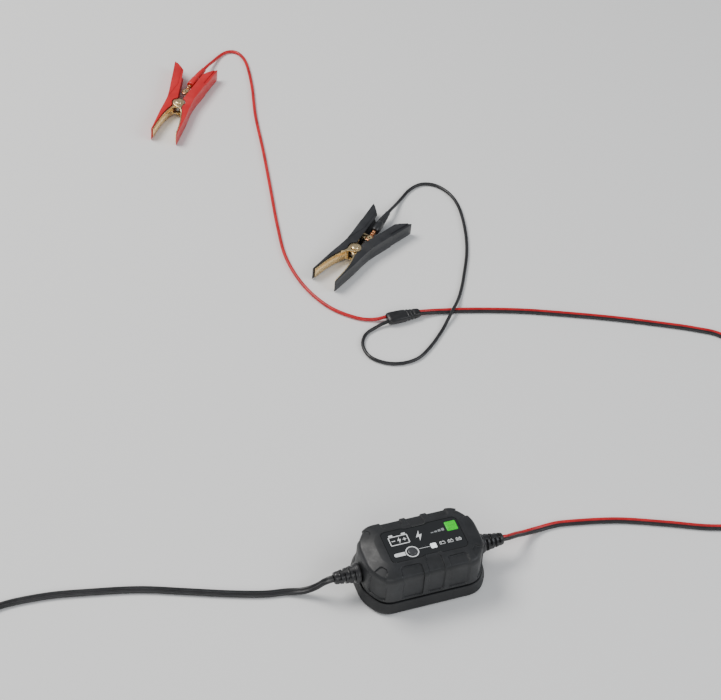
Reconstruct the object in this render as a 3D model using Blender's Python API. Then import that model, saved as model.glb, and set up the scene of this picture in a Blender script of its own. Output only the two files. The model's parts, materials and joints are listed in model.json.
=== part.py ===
"""Car battery charger: sealed case, mains cord, DC lead and two spring clamps.

Metres, +Z up.  The origin is on the floor under the middle of the case, +X runs along
the case towards the DC lead, and +Y towards the back, where the clamps lie.
"""
import math

import bmesh
import bpy
from mathutils import Vector

MM = 0.001

# ---------------------------------------------------------------- driving dimensions
GAP = 0.3 * MM
BODY_LENGTH = 108 * MM
BODY_WIDTH = 68 * MM
BODY_HEIGHT = 43.0 * MM
SEAM_LOW = 11.2 * MM
SEAM_HIGH = 12.4 * MM
TOP_INSET = 16.6 * MM

PANEL_X = 2.2 * MM
PANEL_LENGTH = 65.6 * MM
PANEL_WIDTH = 32.0 * MM
PANEL_DEPTH = 1.0 * MM
BUTTON_X, BUTTON_Y = -11.3 * MM, -8.8 * MM
BUTTON_RADIUS = 3.9 * MM
CHARGE_LIGHT = (28.2 * MM, 7.6 * MM, 4.7 * MM)
MODE_LIGHT = (7.4 * MM, -7.6 * MM, 2.5 * MM)

EXIT_HEIGHT = 20.0 * MM
EXIT_HOLE = 5.3 * MM

BOSS_X, BOSS_Y = 36 * MM, 20 * MM
BOARD_LOW, BOARD_TOP = 7.0 * MM, 8.6 * MM
DISPLAY_LOW, DISPLAY_HIGH = 34.9 * MM, 36.1 * MM

MAINS_DIAMETER = 5.6 * MM
LEAD_DIAMETER = 5.2 * MM
WIRE_DIAMETER = 3.2 * MM
COIL_LOW = 0.9 * MM
MAINS_COIL_TOP, MAINS_COIL_BUILD = 15.4 * MM, 12.5 * MM
LEAD_COIL_TOP, LEAD_COIL_BUILD = 14.2 * MM, 9.0 * MM

CLAMP_DEPTH = 14.0 * MM
CLAMP_FLANGE = 1.3 * MM
EAR_RADIUS = 5.7 * MM
RIVET_RADIUS = 2.0 * MM
WIRE_LEVEL = 8.0 * MM
TERMINAL_S = 23.6 * MM
TERMINAL_TILT = math.radians(10)
BOOT_END = 64 * MM
SPRING_RADIUS = 3.7 * MM
SPRING_WIRE = 1.3 * MM

# name, pivot x, pivot y, direction of the handles, side of the half that holds the wire
CLAMPS = (
    ("red", -22.7 * MM, 610.0 * MM, math.radians(56.5), -1),
    ("black", 76.0 * MM, 365.8 * MM, math.radians(34.5), 1),
)

# ---------------------------------------------------------------- cord routes, chosen by hand
MAINS_ROUTE = (
    (-73.4, 0, 19.9), (-76.5, 0, 19.8), (-80.5, 1.0, 17.3), (-86, 3, 11.0), (-95, 6, 5.4),
    (-108, 11, 3.6), (-127, 14.5, 3.6), (-154, 23, 3.6), (-184, 34, 3.6), (-219, 46.5, 3.6),
    (-256, 55, 3.6), (-293, 61.5, 3.6), (-330, 62, 3.6), (-352, 52.5, 3.6), (-372, 42, 3.6),
    (-392, 36.9, 3.6),
)
MAINS_COIL = (-400, 82.5, 36.3)
MAINS_TAIL = (
    (-445.9, 93.5, 3.6), (-446.3, 109.5, 3.6), (-443.5, 128.5, 5.2), (-436.3, 146.9, 7.9),
)
PLUG = (-435.8 * MM, 147.5 * MM)
LEAD_OUT = (
    (73.4, 0, 19.9), (76.5, 0, 19.8), (81, 1.8, 18.2), (89, 5.5, 13.6), (99, 9.5, 8.4),
    (111, 12.9, 4.6), (125, 14.5, 3.4), (141, 13.0, 3.4), (181, 4, 3.4), (219, -10.5, 3.4),
    (255, -25.5, 3.4), (285, -32, 3.4), (315, -31, 3.4), (345, -19.5, 3.4), (368, -2.5, 3.4),
    (388.5, 15.9, 3.4),
)
LEAD_COIL = (362, 47.5, 33.3)
LEAD_BACK = (
    (402, 57.5, 3.4), (398.5, 77.5, 3.4), (392.5, 110.5, 3.4), (382, 149.5, 3.4), (366, 177.5, 3.4),
    (346, 191.5, 3.4), (321, 204.5, 3.4), (281, 223.5, 3.4), (241, 240.5, 3.4), (200, 256.5, 3.4),
    (157, 269.5, 3.4), (128, 276, 3.5), (108, 277.5, 4.3),
)
SPLITTER_X = (76 * MM, 107.5 * MM)
SPLITTER_Y = 277.5 * MM
RED_WIRE = (
    (75.6, 280.7, 4.0), (66, 281.9, 2.2), (50, 289.5, 1.8), (31, 309.5, 1.8), (18, 341.5, 1.8),
    (14, 381.5, 1.8), (20, 425.5, 1.8), (30, 477.5, 1.8), (40, 530.5, 1.8), (49, 583.5, 1.8),
    (59, 625.5, 1.8), (64.5, 657, 1.8), (65, 674.5, 1.8), (60.5, 685.5, 1.8), (51.5, 688, 1.8),
    (42, 683, 2.2), (32.5, 674, 4.2), (24.4, 665.6, 7.0), (18.6, 659.5, 8.0),
)
BLACK_WIRE = (
    (75.6, 274.3, 4.0), (66, 273, 2.2), (52, 267, 1.8), (44.5, 254.5, 1.8), (46, 239.5, 1.8),
    (57, 228.5, 1.8), (72, 224, 1.8), (88, 226.5, 1.8), (104, 237.5, 1.8), (118, 250.5, 2.2),
    (129, 262, 5.2), (138.5, 272.5, 8.6), (147, 283, 6.0), (156, 296.5, 2.4), (165, 312.5, 1.8),
    (180, 342.5, 1.8), (190, 371.5, 1.8), (196, 401.5, 1.8), (195, 422.5, 1.8), (186.5, 438.5, 1.8),
    (173.5, 444.5, 1.8), (159.5, 440, 1.8), (146.9, 429.7, 2.2), (137.6, 420.6, 4.2), (130.1, 413.2, 7.0),
    (124.8, 408, 8.0),
)


# ---------------------------------------------------------------- scene and materials
def clear_scene():
    for obj in list(bpy.data.objects):
        bpy.data.objects.remove(obj, do_unlink=True)


FINISHES = {
    # name: colour, roughness, metallic
    "case_black": ((0.02, 0.021, 0.022), 0.6, 0.0),
    "skirt_black": ((0.014, 0.015, 0.016), 0.65, 0.0),
    "seal_rubber": ((0.01, 0.01, 0.01), 0.8, 0.0),
    "panel_gloss": ((0.006, 0.006, 0.007), 0.12, 0.0),
    "button_rubber": ((0.03, 0.03, 0.032), 0.4, 0.0),
    "green_light": ((0.1, 0.9, 0.12), 0.3, 0.0),
    "white_light": ((0.9, 0.92, 0.95), 0.3, 0.0),
    "screw_steel": ((0.5, 0.5, 0.5), 0.35, 1.0),
    "board_green": ((0.02, 0.12, 0.05), 0.5, 0.0),
    "ferrite_grey": ((0.06, 0.06, 0.065), 0.55, 0.0),
    "copper_wire": ((0.72, 0.34, 0.16), 0.3, 1.0),
    "tape_yellow": ((0.75, 0.55, 0.05), 0.5, 0.0),
    "can_blue": ((0.02, 0.05, 0.2), 0.35, 0.0),
    "part_plastic": ((0.02, 0.02, 0.02), 0.5, 0.0),
    "sink_aluminium": ((0.7, 0.7, 0.72), 0.35, 1.0),
    "cord_black": ((0.012, 0.012, 0.012), 0.45, 0.0),
    "cord_red": ((0.55, 0.01, 0.015), 0.4, 0.0),
    "clamp_red": ((0.6, 0.015, 0.02), 0.42, 0.0),
    "clamp_black": ((0.03, 0.031, 0.034), 0.45, 0.0),
    "jaw_brass": ((0.85, 0.6, 0.3), 0.3, 1.0),
    "spring_steel": ((0.45, 0.45, 0.45), 0.3, 1.0),
}


def finish(name):
    """The material of a slot, made on first use."""
    material = bpy.data.materials.get(name)
    if material is None:
        colour, roughness, metallic = FINISHES[name]
        material = bpy.data.materials.new(name)
        material.use_nodes = True
        shader = material.node_tree.nodes["Principled BSDF"]
        shader.inputs["Base Color"].default_value = (*colour, 1)
        shader.inputs["Roughness"].default_value = roughness
        shader.inputs["Metallic"].default_value = metallic
    return material


# ---------------------------------------------------------------- mesh helpers
def arc(cx, cy, radius, start, end, steps):
    """Points on an arc, angles in degrees."""
    points = []
    for i in range(steps + 1):
        angle = math.radians(start + (end - start) * i / steps)
        points.append((cx + radius * math.cos(angle), cy + radius * math.sin(angle)))
    return points


def fillet(corners, radius, steps=3):
    """A closed outline with every corner rounded."""
    outline = []
    count = len(corners)
    for i, corner in enumerate(corners):
        here = Vector(corner)
        before = (Vector(corners[i - 1]) - here)
        after = (Vector(corners[(i + 1) % count]) - here)
        reach = min(radius, 0.45 * before.length, 0.45 * after.length)
        first = here + before.normalized() * reach
        last = here + after.normalized() * reach
        for k in range(steps + 1):
            t = k / steps
            point = first * (1 - t) ** 2 + here * 2 * t * (1 - t) + last * t ** 2
            outline.append((point.x, point.y))
    return outline


def rectangle(half_x, half_y, cx=0.0, cy=0.0):
    return [(cx - half_x, cy - half_y), (cx + half_x, cy - half_y),
            (cx + half_x, cy + half_y), (cx - half_x, cy + half_y)]


def loft(rings):
    """A closed body through rings of equal point count, capped at both ends."""
    bm = bmesh.new()
    made = [[bm.verts.new(point) for point in ring] for ring in rings]
    count = len(rings[0])
    for low, high in zip(made, made[1:]):
        for i in range(count):
            k = (i + 1) % count
            bm.faces.new((low[i], low[k], high[k], high[i]))
    bm.faces.new(list(reversed(made[0])))
    bm.faces.new(made[-1])
    return bm


def prism(outline, low, high):
    return loft([[(x, y, low) for x, y in outline], [(x, y, high) for x, y in outline]])


def box(x0, x1, y0, y1, z0, z1):
    return prism([(x0, y0), (x1, y0), (x1, y1), (x0, y1)], z0, z1)


def placed(axis, centre, radius, along, angle):
    """A point at a radius and angle round an axis through centre."""
    side, rise = radius * math.cos(angle), radius * math.sin(angle)
    cx, cy, cz = centre
    if axis == "x":
        return (cx + along, cy + side, cz + rise)
    return (cx + side, cy + rise, cz + along)


def turned(profile, steps, centre=(0, 0, 0), axis="z"):
    """A solid turned from (along, radius) pairs, flat at both ends."""
    rings = []
    for along, radius in profile:
        rings.append([placed(axis, centre, radius, along, 2 * math.pi * k / steps) for k in range(steps)])
    return loft(rings)


def closed_loops(loops):
    """A body with a hole through it: each loop joins the next, and the last joins the first."""
    bm = bmesh.new()
    made = [[bm.verts.new(point) for point in loop] for loop in loops]
    count = len(loops[0])
    for k, this in enumerate(made):
        following = made[(k + 1) % len(made)]
        for i in range(count):
            j = (i + 1) % count
            bm.faces.new((this[i], this[j], following[j], following[i]))
    return bm


def hollow_ring(profile, steps, centre=(0, 0, 0)):
    """A ring turned round a vertical axis from a closed profile of (height, radius) pairs."""
    loops = []
    for k in range(steps):
        angle = 2 * math.pi * k / steps
        loops.append([placed("z", centre, radius, height, angle) for height, radius in profile])
    return closed_loops(loops)


def joined(*meshes):
    """Several bodies in one mesh, for a cutter or for pieces that a union joins."""
    bm = bmesh.new()
    for other in meshes:
        copies = {v: bm.verts.new(v.co) for v in other.verts}
        for face in other.faces:
            bm.faces.new([copies[v] for v in face.verts])
        other.free()
    return bm


def make(name, bm, material, location=(0, 0, 0), turn=0.0):
    bmesh.ops.recalc_face_normals(bm, faces=bm.faces[:])
    mesh = bpy.data.meshes.new(name)
    bm.to_mesh(mesh)
    bm.free()
    mesh.shade_smooth()
    mesh.set_sharp_from_angle(angle=math.radians(32))
    obj = bpy.data.objects.new(name, mesh)
    bpy.context.scene.collection.objects.link(obj)
    obj.location = location
    obj.rotation_euler = (0, 0, turn)
    if material is not None:
        obj.data.materials.append(material)
    return obj


def shape_with(obj, operation, bm, label):
    """Cut or join obj with a hidden tool body in the same place."""
    tool = make(f"tool_{obj.name}_{label}", bm, None, obj.location[:], obj.rotation_euler[2])
    tool.hide_render = True
    tool.display_type = "WIRE"
    modifier = obj.modifiers.new(label, "BOOLEAN")
    modifier.operation = operation
    modifier.object = tool
    modifier.solver = "EXACT"
    modifier.use_self = True


# ---------------------------------------------------------------- case
def body_ring(height, inset):
    """The case outline at a height: a rectangle with long corner cuts, all rounded."""
    half_x = BODY_LENGTH / 2 - inset
    half_y = BODY_WIDTH / 2 - inset
    share = max(0.0, min(1.0, inset / TOP_INSET))
    cut_x = (12 - 6 * share) * MM
    cut_y = (18 - 11 * share) * MM
    corners = [
        (half_x, -half_y + cut_y), (half_x, half_y - cut_y), (half_x - cut_x, half_y),
        (-half_x + cut_x, half_y), (-half_x, half_y - cut_y), (-half_x, -half_y + cut_y),
        (-half_x + cut_x, -half_y), (half_x - cut_x, -half_y),
    ]
    return [(x, y, height) for x, y in fillet(corners, (10 - 5 * share) * MM)]


def base_shell():
    outer = [(0, 1.7), (1.0, 0.4), (3.0, 0), (10.2, 2.0), (11.2, 2.6)]
    inner = [(11.2, 4.8), (3.2, 3.4), (2.0, 4.6)]
    rings = [body_ring(z * MM, inset * MM) for z, inset in outer + inner]
    shell = make("base_shell", loft(rings), finish("skirt_black"))
    posts = []
    cuts = []
    for sx in (-1, 1):
        for sy in (-1, 1):
            x, y = sx * BOSS_X, sy * BOSS_Y
            posts.append(turned([(1.0 * MM, 4.6 * MM), (11.0 * MM, 4.6 * MM)], 14, (x, y, 0)))
            posts.append(turned([(1.0 * MM, 2.4 * MM), (6.7 * MM, 2.4 * MM)], 8,
                                (sx * 25 * MM, sy * 20 * MM, 0)))
            cuts.append(turned([(-1 * MM, 3.3 * MM), (4.4 * MM, 3.3 * MM), (4.4 * MM, 1.7 * MM),
                                (13 * MM, 1.7 * MM)], 12, (x, y, 0)))
    shape_with(shell, "UNION", joined(*posts), "posts")
    shape_with(shell, "DIFFERENCE", joined(*cuts), "screw_holes")


PAD_RANGES = ((-25.7, -8.2, 11.0), (-3.6, 9.8, 14.0), (14.7, 31.3, 11.0))


def side_pads(side):
    """Cutters for the shallow pads of one long side; side is -1 in front and 1 behind."""
    half = BODY_WIDTH / 2
    cutters = []
    for x0, x1, top_inset in PAD_RANGES:
        slope_top = 39.5 + (top_inset - 6.4) * 3.0 / 9.2
        section = [(1.0, 15.0), (3.75, 15.0), (4.5, 36.5), (5.7, 38.3), (7.2, 39.0),
                   (top_inset, slope_top - 0.8), (top_inset, slope_top + 1.5), (1.0, 45.0)]
        rings = []
        for x in (x0, x1):
            rings.append([(x * MM, side * (half - inset * MM), z * MM) for inset, z in section])
        cutters.append(loft(rings))
    return cutters


def panel_outline(grow):
    """The control panel's outline, with a shallow wave in each long edge."""
    half_x = PANEL_LENGTH / 2 + grow
    half_y = PANEL_WIDTH / 2 + grow
    dip = 1.3 * MM
    corners = [
        (PANEL_X - half_x, -half_y), (-5.2 * MM, -half_y), (-3.0 * MM, -half_y + dip),
        (9.2 * MM, -half_y + dip), (11.4 * MM, -half_y), (PANEL_X + half_x, -half_y),
        (PANEL_X + half_x, half_y), (10.2 * MM, half_y), (7.6 * MM, half_y - dip),
        (-9.4 * MM, half_y - dip), (-12.0 * MM, half_y), (PANEL_X - half_x, half_y),
    ]
    return fillet(corners, 4.5 * MM)


def top_shell():
    outer = [(12.4, 3.4), (13.2, 2.9), (36.1, 3.6), (38.1, 4.4), (39.5, 6.4), (42.5, 15.6), (43.0, 16.6)]
    inner = [(40.5, 16.6), (37.1, 7.0), (12.4, 5.2)]
    rings = [body_ring(z * MM, inset * MM) for z, inset in inner + outer]
    shell = make("top_shell", loft(rings), finish("case_black"))
    posts = []
    holes = []
    for sx in (-1, 1):
        for sy in (-1, 1):
            x, y = sx * BOSS_X, sy * BOSS_Y
            posts.append(turned([(12.4 * MM, 3.4 * MM), (38.3 * MM, 3.4 * MM)], 12, (x, y, 0)))
            holes.append(turned([(11 * MM, 1.5 * MM), (22 * MM, 1.5 * MM)], 8, (x, y, 0)))
        holes.append(turned([(-8 * MM, EXIT_HOLE), (8 * MM, EXIT_HOLE)], 24,
                            (sx * 50 * MM, 0, EXIT_HEIGHT), "x"))
    shape_with(shell, "UNION", joined(*posts), "posts")
    holes.append(prism(panel_outline(0), BODY_HEIGHT - PANEL_DEPTH, BODY_HEIGHT + 2 * MM))
    holes.append(turned([(35 * MM, BUTTON_RADIUS + 0.4 * MM), (45 * MM, BUTTON_RADIUS + 0.4 * MM)], 24,
                        (BUTTON_X, BUTTON_Y, 0)))
    for x, y, half in (CHARGE_LIGHT, MODE_LIGHT):
        side = half + GAP
        holes.append(box(x - side, x + side, y - side, y + side, 35 * MM, 45 * MM))
    shape_with(shell, "DIFFERENCE", joined(*holes), "holes")
    shape_with(shell, "DIFFERENCE", joined(*side_pads(-1), *side_pads(1)), "pads")


def seal_gasket():
    low, high = SEAM_LOW + GAP, SEAM_HIGH - GAP
    loops = [body_ring(z, inset) for z, inset in
             ((low, 4.2 * MM), (high, 4.2 * MM), (high, 5.2 * MM), (low, 5.2 * MM))]
    make("seal_gasket", closed_loops(loops), finish("seal_rubber"))


def case_screws():
    profile = [(1.2, 2.9), (3.6, 2.9), (3.9, 2.6), (3.9, 1.2), (20.0, 1.2), (21.0, 0.5)]
    number = 0
    for sx in (-1, 1):
        for sy in (-1, 1):
            number += 1
            screw = turned([(z * MM, r * MM) for z, r in profile], 12, (sx * BOSS_X, sy * BOSS_Y, 0))
            make(f"case_screw_{number}", screw, finish("screw_steel"))


def front_panel():
    low = BODY_HEIGHT - PANEL_DEPTH + GAP
    panel = prism(panel_outline(-GAP), low, BODY_HEIGHT - 0.1 * MM)
    panel = make("front_panel", panel, finish("panel_gloss"))
    holes = [turned([(35 * MM, BUTTON_RADIUS + GAP), (45 * MM, BUTTON_RADIUS + GAP)], 24,
                    (BUTTON_X, BUTTON_Y, 0))]
    for x, y, half in (CHARGE_LIGHT, MODE_LIGHT):
        side = half + GAP
        holes.append(box(x - side, x + side, y - side, y + side, 35 * MM, 45 * MM))
    shape_with(panel, "DIFFERENCE", joined(*holes), "openings")


def mode_button():
    flange = BUTTON_RADIUS + 1.0 * MM
    top = BODY_HEIGHT + 1.0 * MM
    profile = [
        (38.2 * MM, 1.6 * MM), (38.9 * MM, 1.6 * MM), (38.9 * MM, flange), (39.6 * MM, flange),
        (39.6 * MM, BUTTON_RADIUS), (top - 1.0 * MM, BUTTON_RADIUS), (top - 0.35 * MM, 3.2 * MM),
        (top - 0.05 * MM, 1.8 * MM), (top, 0.6 * MM),
    ]
    make("mode_button", turned(profile, 20), finish("button_rubber"), (BUTTON_X, BUTTON_Y, 0))


def light_pipe(name, light, material):
    x, y, half = light
    low = DISPLAY_HIGH + 1.7 * MM
    top = BODY_HEIGHT + 0.2 * MM
    small = fillet(rectangle(half - 0.3 * MM, half - 0.3 * MM, x, y), 0.9 * MM, 2)
    full = fillet(rectangle(half, half, x, y), 0.9 * MM, 2)
    rings = [[(px, py, low) for px, py in full], [(px, py, top - 0.3 * MM) for px, py in full],
             [(px, py, top) for px, py in small]]
    make(name, loft(rings), material)


def display_pieces():
    board = box(-29 * MM, 33.5 * MM, -13 * MM, 13 * MM, DISPLAY_LOW, DISPLAY_HIGH)
    make("display_board", board, finish("board_green"))
    base = DISPLAY_HIGH + GAP
    switch = loft([
        [(x, y, base) for x, y in rectangle(2.6 * MM, 2.6 * MM, BUTTON_X, BUTTON_Y)],
        [(x, y, base + 0.7 * MM) for x, y in rectangle(2.6 * MM, 2.6 * MM, BUTTON_X, BUTTON_Y)],
        [(x, y, base + 0.7 * MM) for x, y in rectangle(1.2 * MM, 1.2 * MM, BUTTON_X, BUTTON_Y)],
        [(x, y, base + 1.0 * MM) for x, y in rectangle(1.1 * MM, 1.1 * MM, BUTTON_X, BUTTON_Y)],
    ])
    make("tactile_switch", switch, finish("part_plastic"))
    for name, light, half in (("charge_led", CHARGE_LIGHT, 1.7), ("mode_led", MODE_LIGHT, 1.4)):
        x, y = light[:2]
        chip = box(x - half * MM, x + half * MM, y - half * MM, y + half * MM, base, base + 1.1 * MM)
        make(name, chip, finish("white_light"))


def strain_relief(name, side):
    """A flange inside the wall, a neck through it and a ribbed taper outside."""
    profile = [(44.8, 7.0), (46.9, 7.0), (46.9, 4.9), (52.1, 4.9), (52.1, 8.7), (54.4, 8.7), (55.0, 8.0)]
    ribs = 4
    start, end = 55.8, 71.0
    pitch = (end - start) / ribs
    for k in range(ribs):
        x = start + k * pitch
        radius = 8.0 - 3.2 * k / (ribs - 1)
        profile += [(x, radius - 1.0), (x + 0.34 * pitch, radius - 1.1), (x + 0.42 * pitch, radius),
                    (x + 0.95 * pitch, radius - 0.4)]
    profile += [(71.4, 4.3), (73.0, 3.9)]
    points = [(side * x * MM, r * MM) for x, r in profile]
    make(name, turned(points, 16, (0, 0, EXIT_HEIGHT), "x"), finish("cord_black"))


# ---------------------------------------------------------------- main board
def main_board():
    wide_x, wide_y, slim_x, slim_y = 30 * MM, 25.5 * MM, 45 * MM, 13 * MM
    outline = [(-wide_x, -wide_y), (wide_x, -wide_y), (wide_x, -slim_y), (slim_x, -slim_y),
               (slim_x, slim_y), (wide_x, slim_y), (wide_x, wide_y), (-wide_x, wide_y),
               (-wide_x, slim_y), (-slim_x, slim_y), (-slim_x, -slim_y), (-wide_x, -slim_y)]
    make("main_board", prism(outline, BOARD_LOW, BOARD_TOP), finish("board_green"))


def transformer():
    low = BOARD_TOP + GAP
    x0, x1, y0, y1, high = -13 * MM, 11 * MM, -6 * MM, 6 * MM, low + 18 * MM
    core = make("transformer_core", box(x0, x1, y0, y1, low, high), finish("ferrite_grey"))
    windows = [box(x0 + 3 * MM, x0 + 8.5 * MM, -9 * MM, 9 * MM, low + 3 * MM, high - 3 * MM),
               box(x1 - 8.5 * MM, x1 - 3 * MM, -9 * MM, 9 * MM, low + 3 * MM, high - 3 * MM)]
    shape_with(core, "DIFFERENCE", joined(*windows), "windows")
    outer = fillet(rectangle(8.6 * MM, 10.5 * MM, -1 * MM, 0), 2.5 * MM, 4)
    winding = prism(outer, low + 3.4 * MM, high - 3.4 * MM)
    winding = make("transformer_winding", winding, finish("tape_yellow"))
    shape_with(winding, "DIFFERENCE",
               box(-4.9 * MM, 2.9 * MM, -6.4 * MM, 6.4 * MM, low, high), "leg_hole")


def can(name, x, y, radius, height, material):
    low = BOARD_TOP + GAP
    profile = [(low, radius - 0.4 * MM), (low + 0.6 * MM, radius), (low + 1.6 * MM, radius),
               (low + 2.1 * MM, radius - 0.4 * MM), (low + 2.6 * MM, radius),
               (low + height - 0.5 * MM, radius), (low + height, radius - 0.5 * MM)]
    make(name, turned(profile, 16, (x, y, 0)), material)


def board_parts():
    low = BOARD_TOP + GAP
    can("mains_capacitor", -22 * MM, 18 * MM, 6.2 * MM, 18 * MM, finish("can_blue"))
    can("output_capacitor", 18 * MM, -18 * MM, 5.0 * MM, 14 * MM, finish("can_blue"))
    centre = (22 * MM, 4 * MM, low + 4.2 * MM)
    profile = [(3.6 * MM * math.sin(a), 6.4 * MM + 2.8 * MM * math.cos(a))
               for a in (2 * math.pi * k / 8 for k in range(8))]
    make("choke", hollow_ring(profile, 18, centre), finish("copper_wire"))
    bridge = box(-29 * MM, -26 * MM, -6 * MM, 8 * MM, low, low + 10 * MM)
    make("bridge_rectifier", bridge, finish("part_plastic"))
    sink = box(-14 * MM, 14 * MM, 20.5 * MM, 22.5 * MM, low, low + 15 * MM)
    sink = make("heat_sink", sink, finish("sink_aluminium"))
    fins = [box(x * MM, (x + 1.2) * MM, 21.5 * MM, 25 * MM, low + 0.4 * MM, low + 14.6 * MM)
            for x in (-13, -8, -3, 2, 7, 11.5)]
    shape_with(sink, "UNION", joined(*fins), "fins")
    case = fillet(rectangle(5 * MM, 2.15 * MM, 0, 18.05 * MM), 0.4 * MM, 1)
    make("switching_transistor", prism(case, low + 1.5 * MM, low + 12 * MM), finish("part_plastic"))
    fuse = [(-6.5 * MM, 2.2 * MM), (-4.0 * MM, 2.2 * MM), (-4.0 * MM, 1.9 * MM), (4.0 * MM, 1.9 * MM),
            (4.0 * MM, 2.2 * MM), (6.5 * MM, 2.2 * MM)]
    make("fuse", turned(fuse, 16, (-18 * MM, -19 * MM, low + 2.5 * MM), "x"), finish("sink_aluminium"))
    header = box(-4 * MM, 10 * MM, -12.6 * MM, -11 * MM, low, DISPLAY_LOW - GAP)
    make("board_header", header, finish("part_plastic"))


# ---------------------------------------------------------------- cords
def catmull(points, closeness):
    """Points on a smooth curve through the route, at most closeness apart."""
    nodes = [Vector(p) for p in points]
    nodes = [nodes[0] * 2 - nodes[1]] + nodes + [nodes[-1] * 2 - nodes[-2]]
    smooth = [nodes[1]]
    for a, b, c, d in zip(nodes, nodes[1:], nodes[2:], nodes[3:]):
        steps = max(1, math.ceil((c - b).length / closeness))
        for k in range(1, steps + 1):
            t = k / steps
            smooth.append(0.5 * (2 * b + (c - a) * t + (2 * a - 5 * b + 4 * c - d) * t ** 2
                                 + (3 * b - a - 3 * c + d) * t ** 3))
    return smooth


def poly_tube(name, points, diameter, material):
    """A round tube straight from point to point, closed at both ends."""
    curve = bpy.data.curves.new(name, "CURVE")
    curve.dimensions = "3D"
    curve.bevel_depth = diameter / 2
    curve.bevel_resolution = 2
    curve.use_fill_caps = True
    spline = curve.splines.new("POLY")
    spline.points.add(len(points) - 1)
    for spot, point in zip(spline.points, points):
        spot.co = (*point, 1)
    obj = bpy.data.objects.new(name, curve)
    bpy.context.scene.collection.objects.link(obj)
    obj.data.materials.append(material)
    return obj


def tube(name, route, diameter, material, closeness):
    """A round tube along a smooth route whose points are given in millimetres."""
    points = catmull([(x * MM, y * MM, z * MM) for x, y, z in route], closeness)
    poly_tube(name, points, diameter, material)


def coil(name, place, radial, high, material):
    """The outer shape of a round coil: a turned ring with softened edges."""
    low = COIL_LOW
    cx, cy, radius = (value * MM for value in place)
    inner, outer = radius - radial / 2, radius + radial / 2
    soft = 1.2 * MM
    profile = [(low, inner + soft), (low + soft, inner), (high - soft, inner), (high, inner + soft),
               (high, outer - soft), (high - soft, outer), (low + soft, outer), (low, outer - soft)]
    make(name, hollow_ring(profile, 30, (cx, cy, 0)), material)


def coil_tie(name, place, radial, high, angle):
    """A strap round the section of a coil, lying on the floor under it."""
    cx, cy, radius = (value * MM for value in place)
    heading = math.radians(angle)
    half = radial / 2 + GAP
    thick, width = 0.6 * MM, 4.0 * MM
    corners = [(-half, thick), (half, thick), (half, high + GAP), (-half, high + GAP)]
    inner = fillet(corners, 0.4 * MM, 1)
    grown = [(-half - thick, 0), (half + thick, 0), (half + thick, high + GAP + thick),
             (-half - thick, high + GAP + thick)]
    outer = fillet(grown, 0.8 * MM, 1)
    loops = []
    for outline, along in ((outer, -width), (outer, width), (inner, width), (inner, -width)):
        loops.append([(radius + r, along / 2, z) for r, z in outline])
    make(name, closed_loops(loops), finish("seal_rubber"), (cx, cy, 0), heading)


def mains_cord():
    tube("mains_cord", MAINS_ROUTE, MAINS_DIAMETER, finish("cord_black"), 16 * MM)
    coil("mains_cord_coil", MAINS_COIL, MAINS_COIL_BUILD, MAINS_COIL_TOP, finish("cord_black"))
    tube("mains_cord_tail", MAINS_TAIL, MAINS_DIAMETER, finish("cord_black"), 6 * MM)
    coil_tie("mains_coil_tie", MAINS_COIL, MAINS_COIL_BUILD, MAINS_COIL_TOP, 200)


def plug():
    """A flat two-blade plug; local x points from the cord to the blades."""
    place, heading = (*PLUG, 0), math.radians(62)
    low, high = 0.3 * MM, 15.5 * MM
    rings = []
    for x, half_y, half_z in ((0, 4.0, 4.0), (8, 4.6, 4.6), (14, 9.5, 6.4), (22, 12.0, 7.4), (34, 12.4, 7.6),
                              (36, 11.6, 6.8)):
        middle = (low + high) / 2
        section = fillet(rectangle(half_y * MM, half_z * MM), 3.0 * MM, 3)
        rings.append([(x * MM, y, middle + z) for y, z in section])
    body = make("plug_body", loft(rings), finish("cord_black"), place, heading)
    slots = []
    for number, side in ((1, -1), (2, 1)):
        y = side * 6.35 * MM
        slots.append(box(29 * MM, 38 * MM, y - 1.05 * MM, y + 1.05 * MM, 4.45 * MM, 11.35 * MM))
        blade = loft([
            [(x, by, z) for x, z in fillet(((29.4 * MM, 4.75 * MM), (53 * MM, 4.75 * MM),
                                            (53 * MM, 11.05 * MM), (29.4 * MM, 11.05 * MM)), 1.2 * MM, 2)]
            for by in (y - 0.75 * MM, y + 0.75 * MM)
        ])
        make(f"plug_blade_{number}", blade, finish("jaw_brass"), place, heading)
    shape_with(body, "DIFFERENCE", joined(*slots), "blade_slots")


def dc_lead():
    tube("dc_lead_out", LEAD_OUT, LEAD_DIAMETER, finish("cord_black"), 15 * MM)
    coil("dc_lead_coil", LEAD_COIL, LEAD_COIL_BUILD, LEAD_COIL_TOP, finish("cord_black"))
    tube("dc_lead_back", LEAD_BACK, LEAD_DIAMETER, finish("cord_black"), 15 * MM)
    coil_tie("dc_coil_tie", LEAD_COIL, LEAD_COIL_BUILD, LEAD_COIL_TOP, 120)


def lead_splitter():
    """The moulded piece where the lead divides into two wires."""
    x0, x1 = SPLITTER_X
    rings = []
    for share, half_y, half_z in ((0, 6.0, 3.4), (0.12, 6.6, 3.9), (0.5, 6.4, 3.9), (0.85, 4.9, 3.4),
                                  (1, 4.2, 3.1)):
        x = x0 + (x1 - x0) * share
        section = fillet(rectangle(half_y * MM, half_z * MM), 2.4 * MM, 2)
        rings.append([(x, SPLITTER_Y + y, 4.2 * MM + z) for y, z in section])
    make("lead_splitter", loft(rings), finish("cord_black"))


def clamp_wires():
    tube("red_wire", RED_WIRE, WIRE_DIAMETER, finish("cord_red"), 14 * MM)
    tube("black_wire", BLACK_WIRE, WIRE_DIAMETER, finish("cord_black"), 14 * MM)


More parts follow.
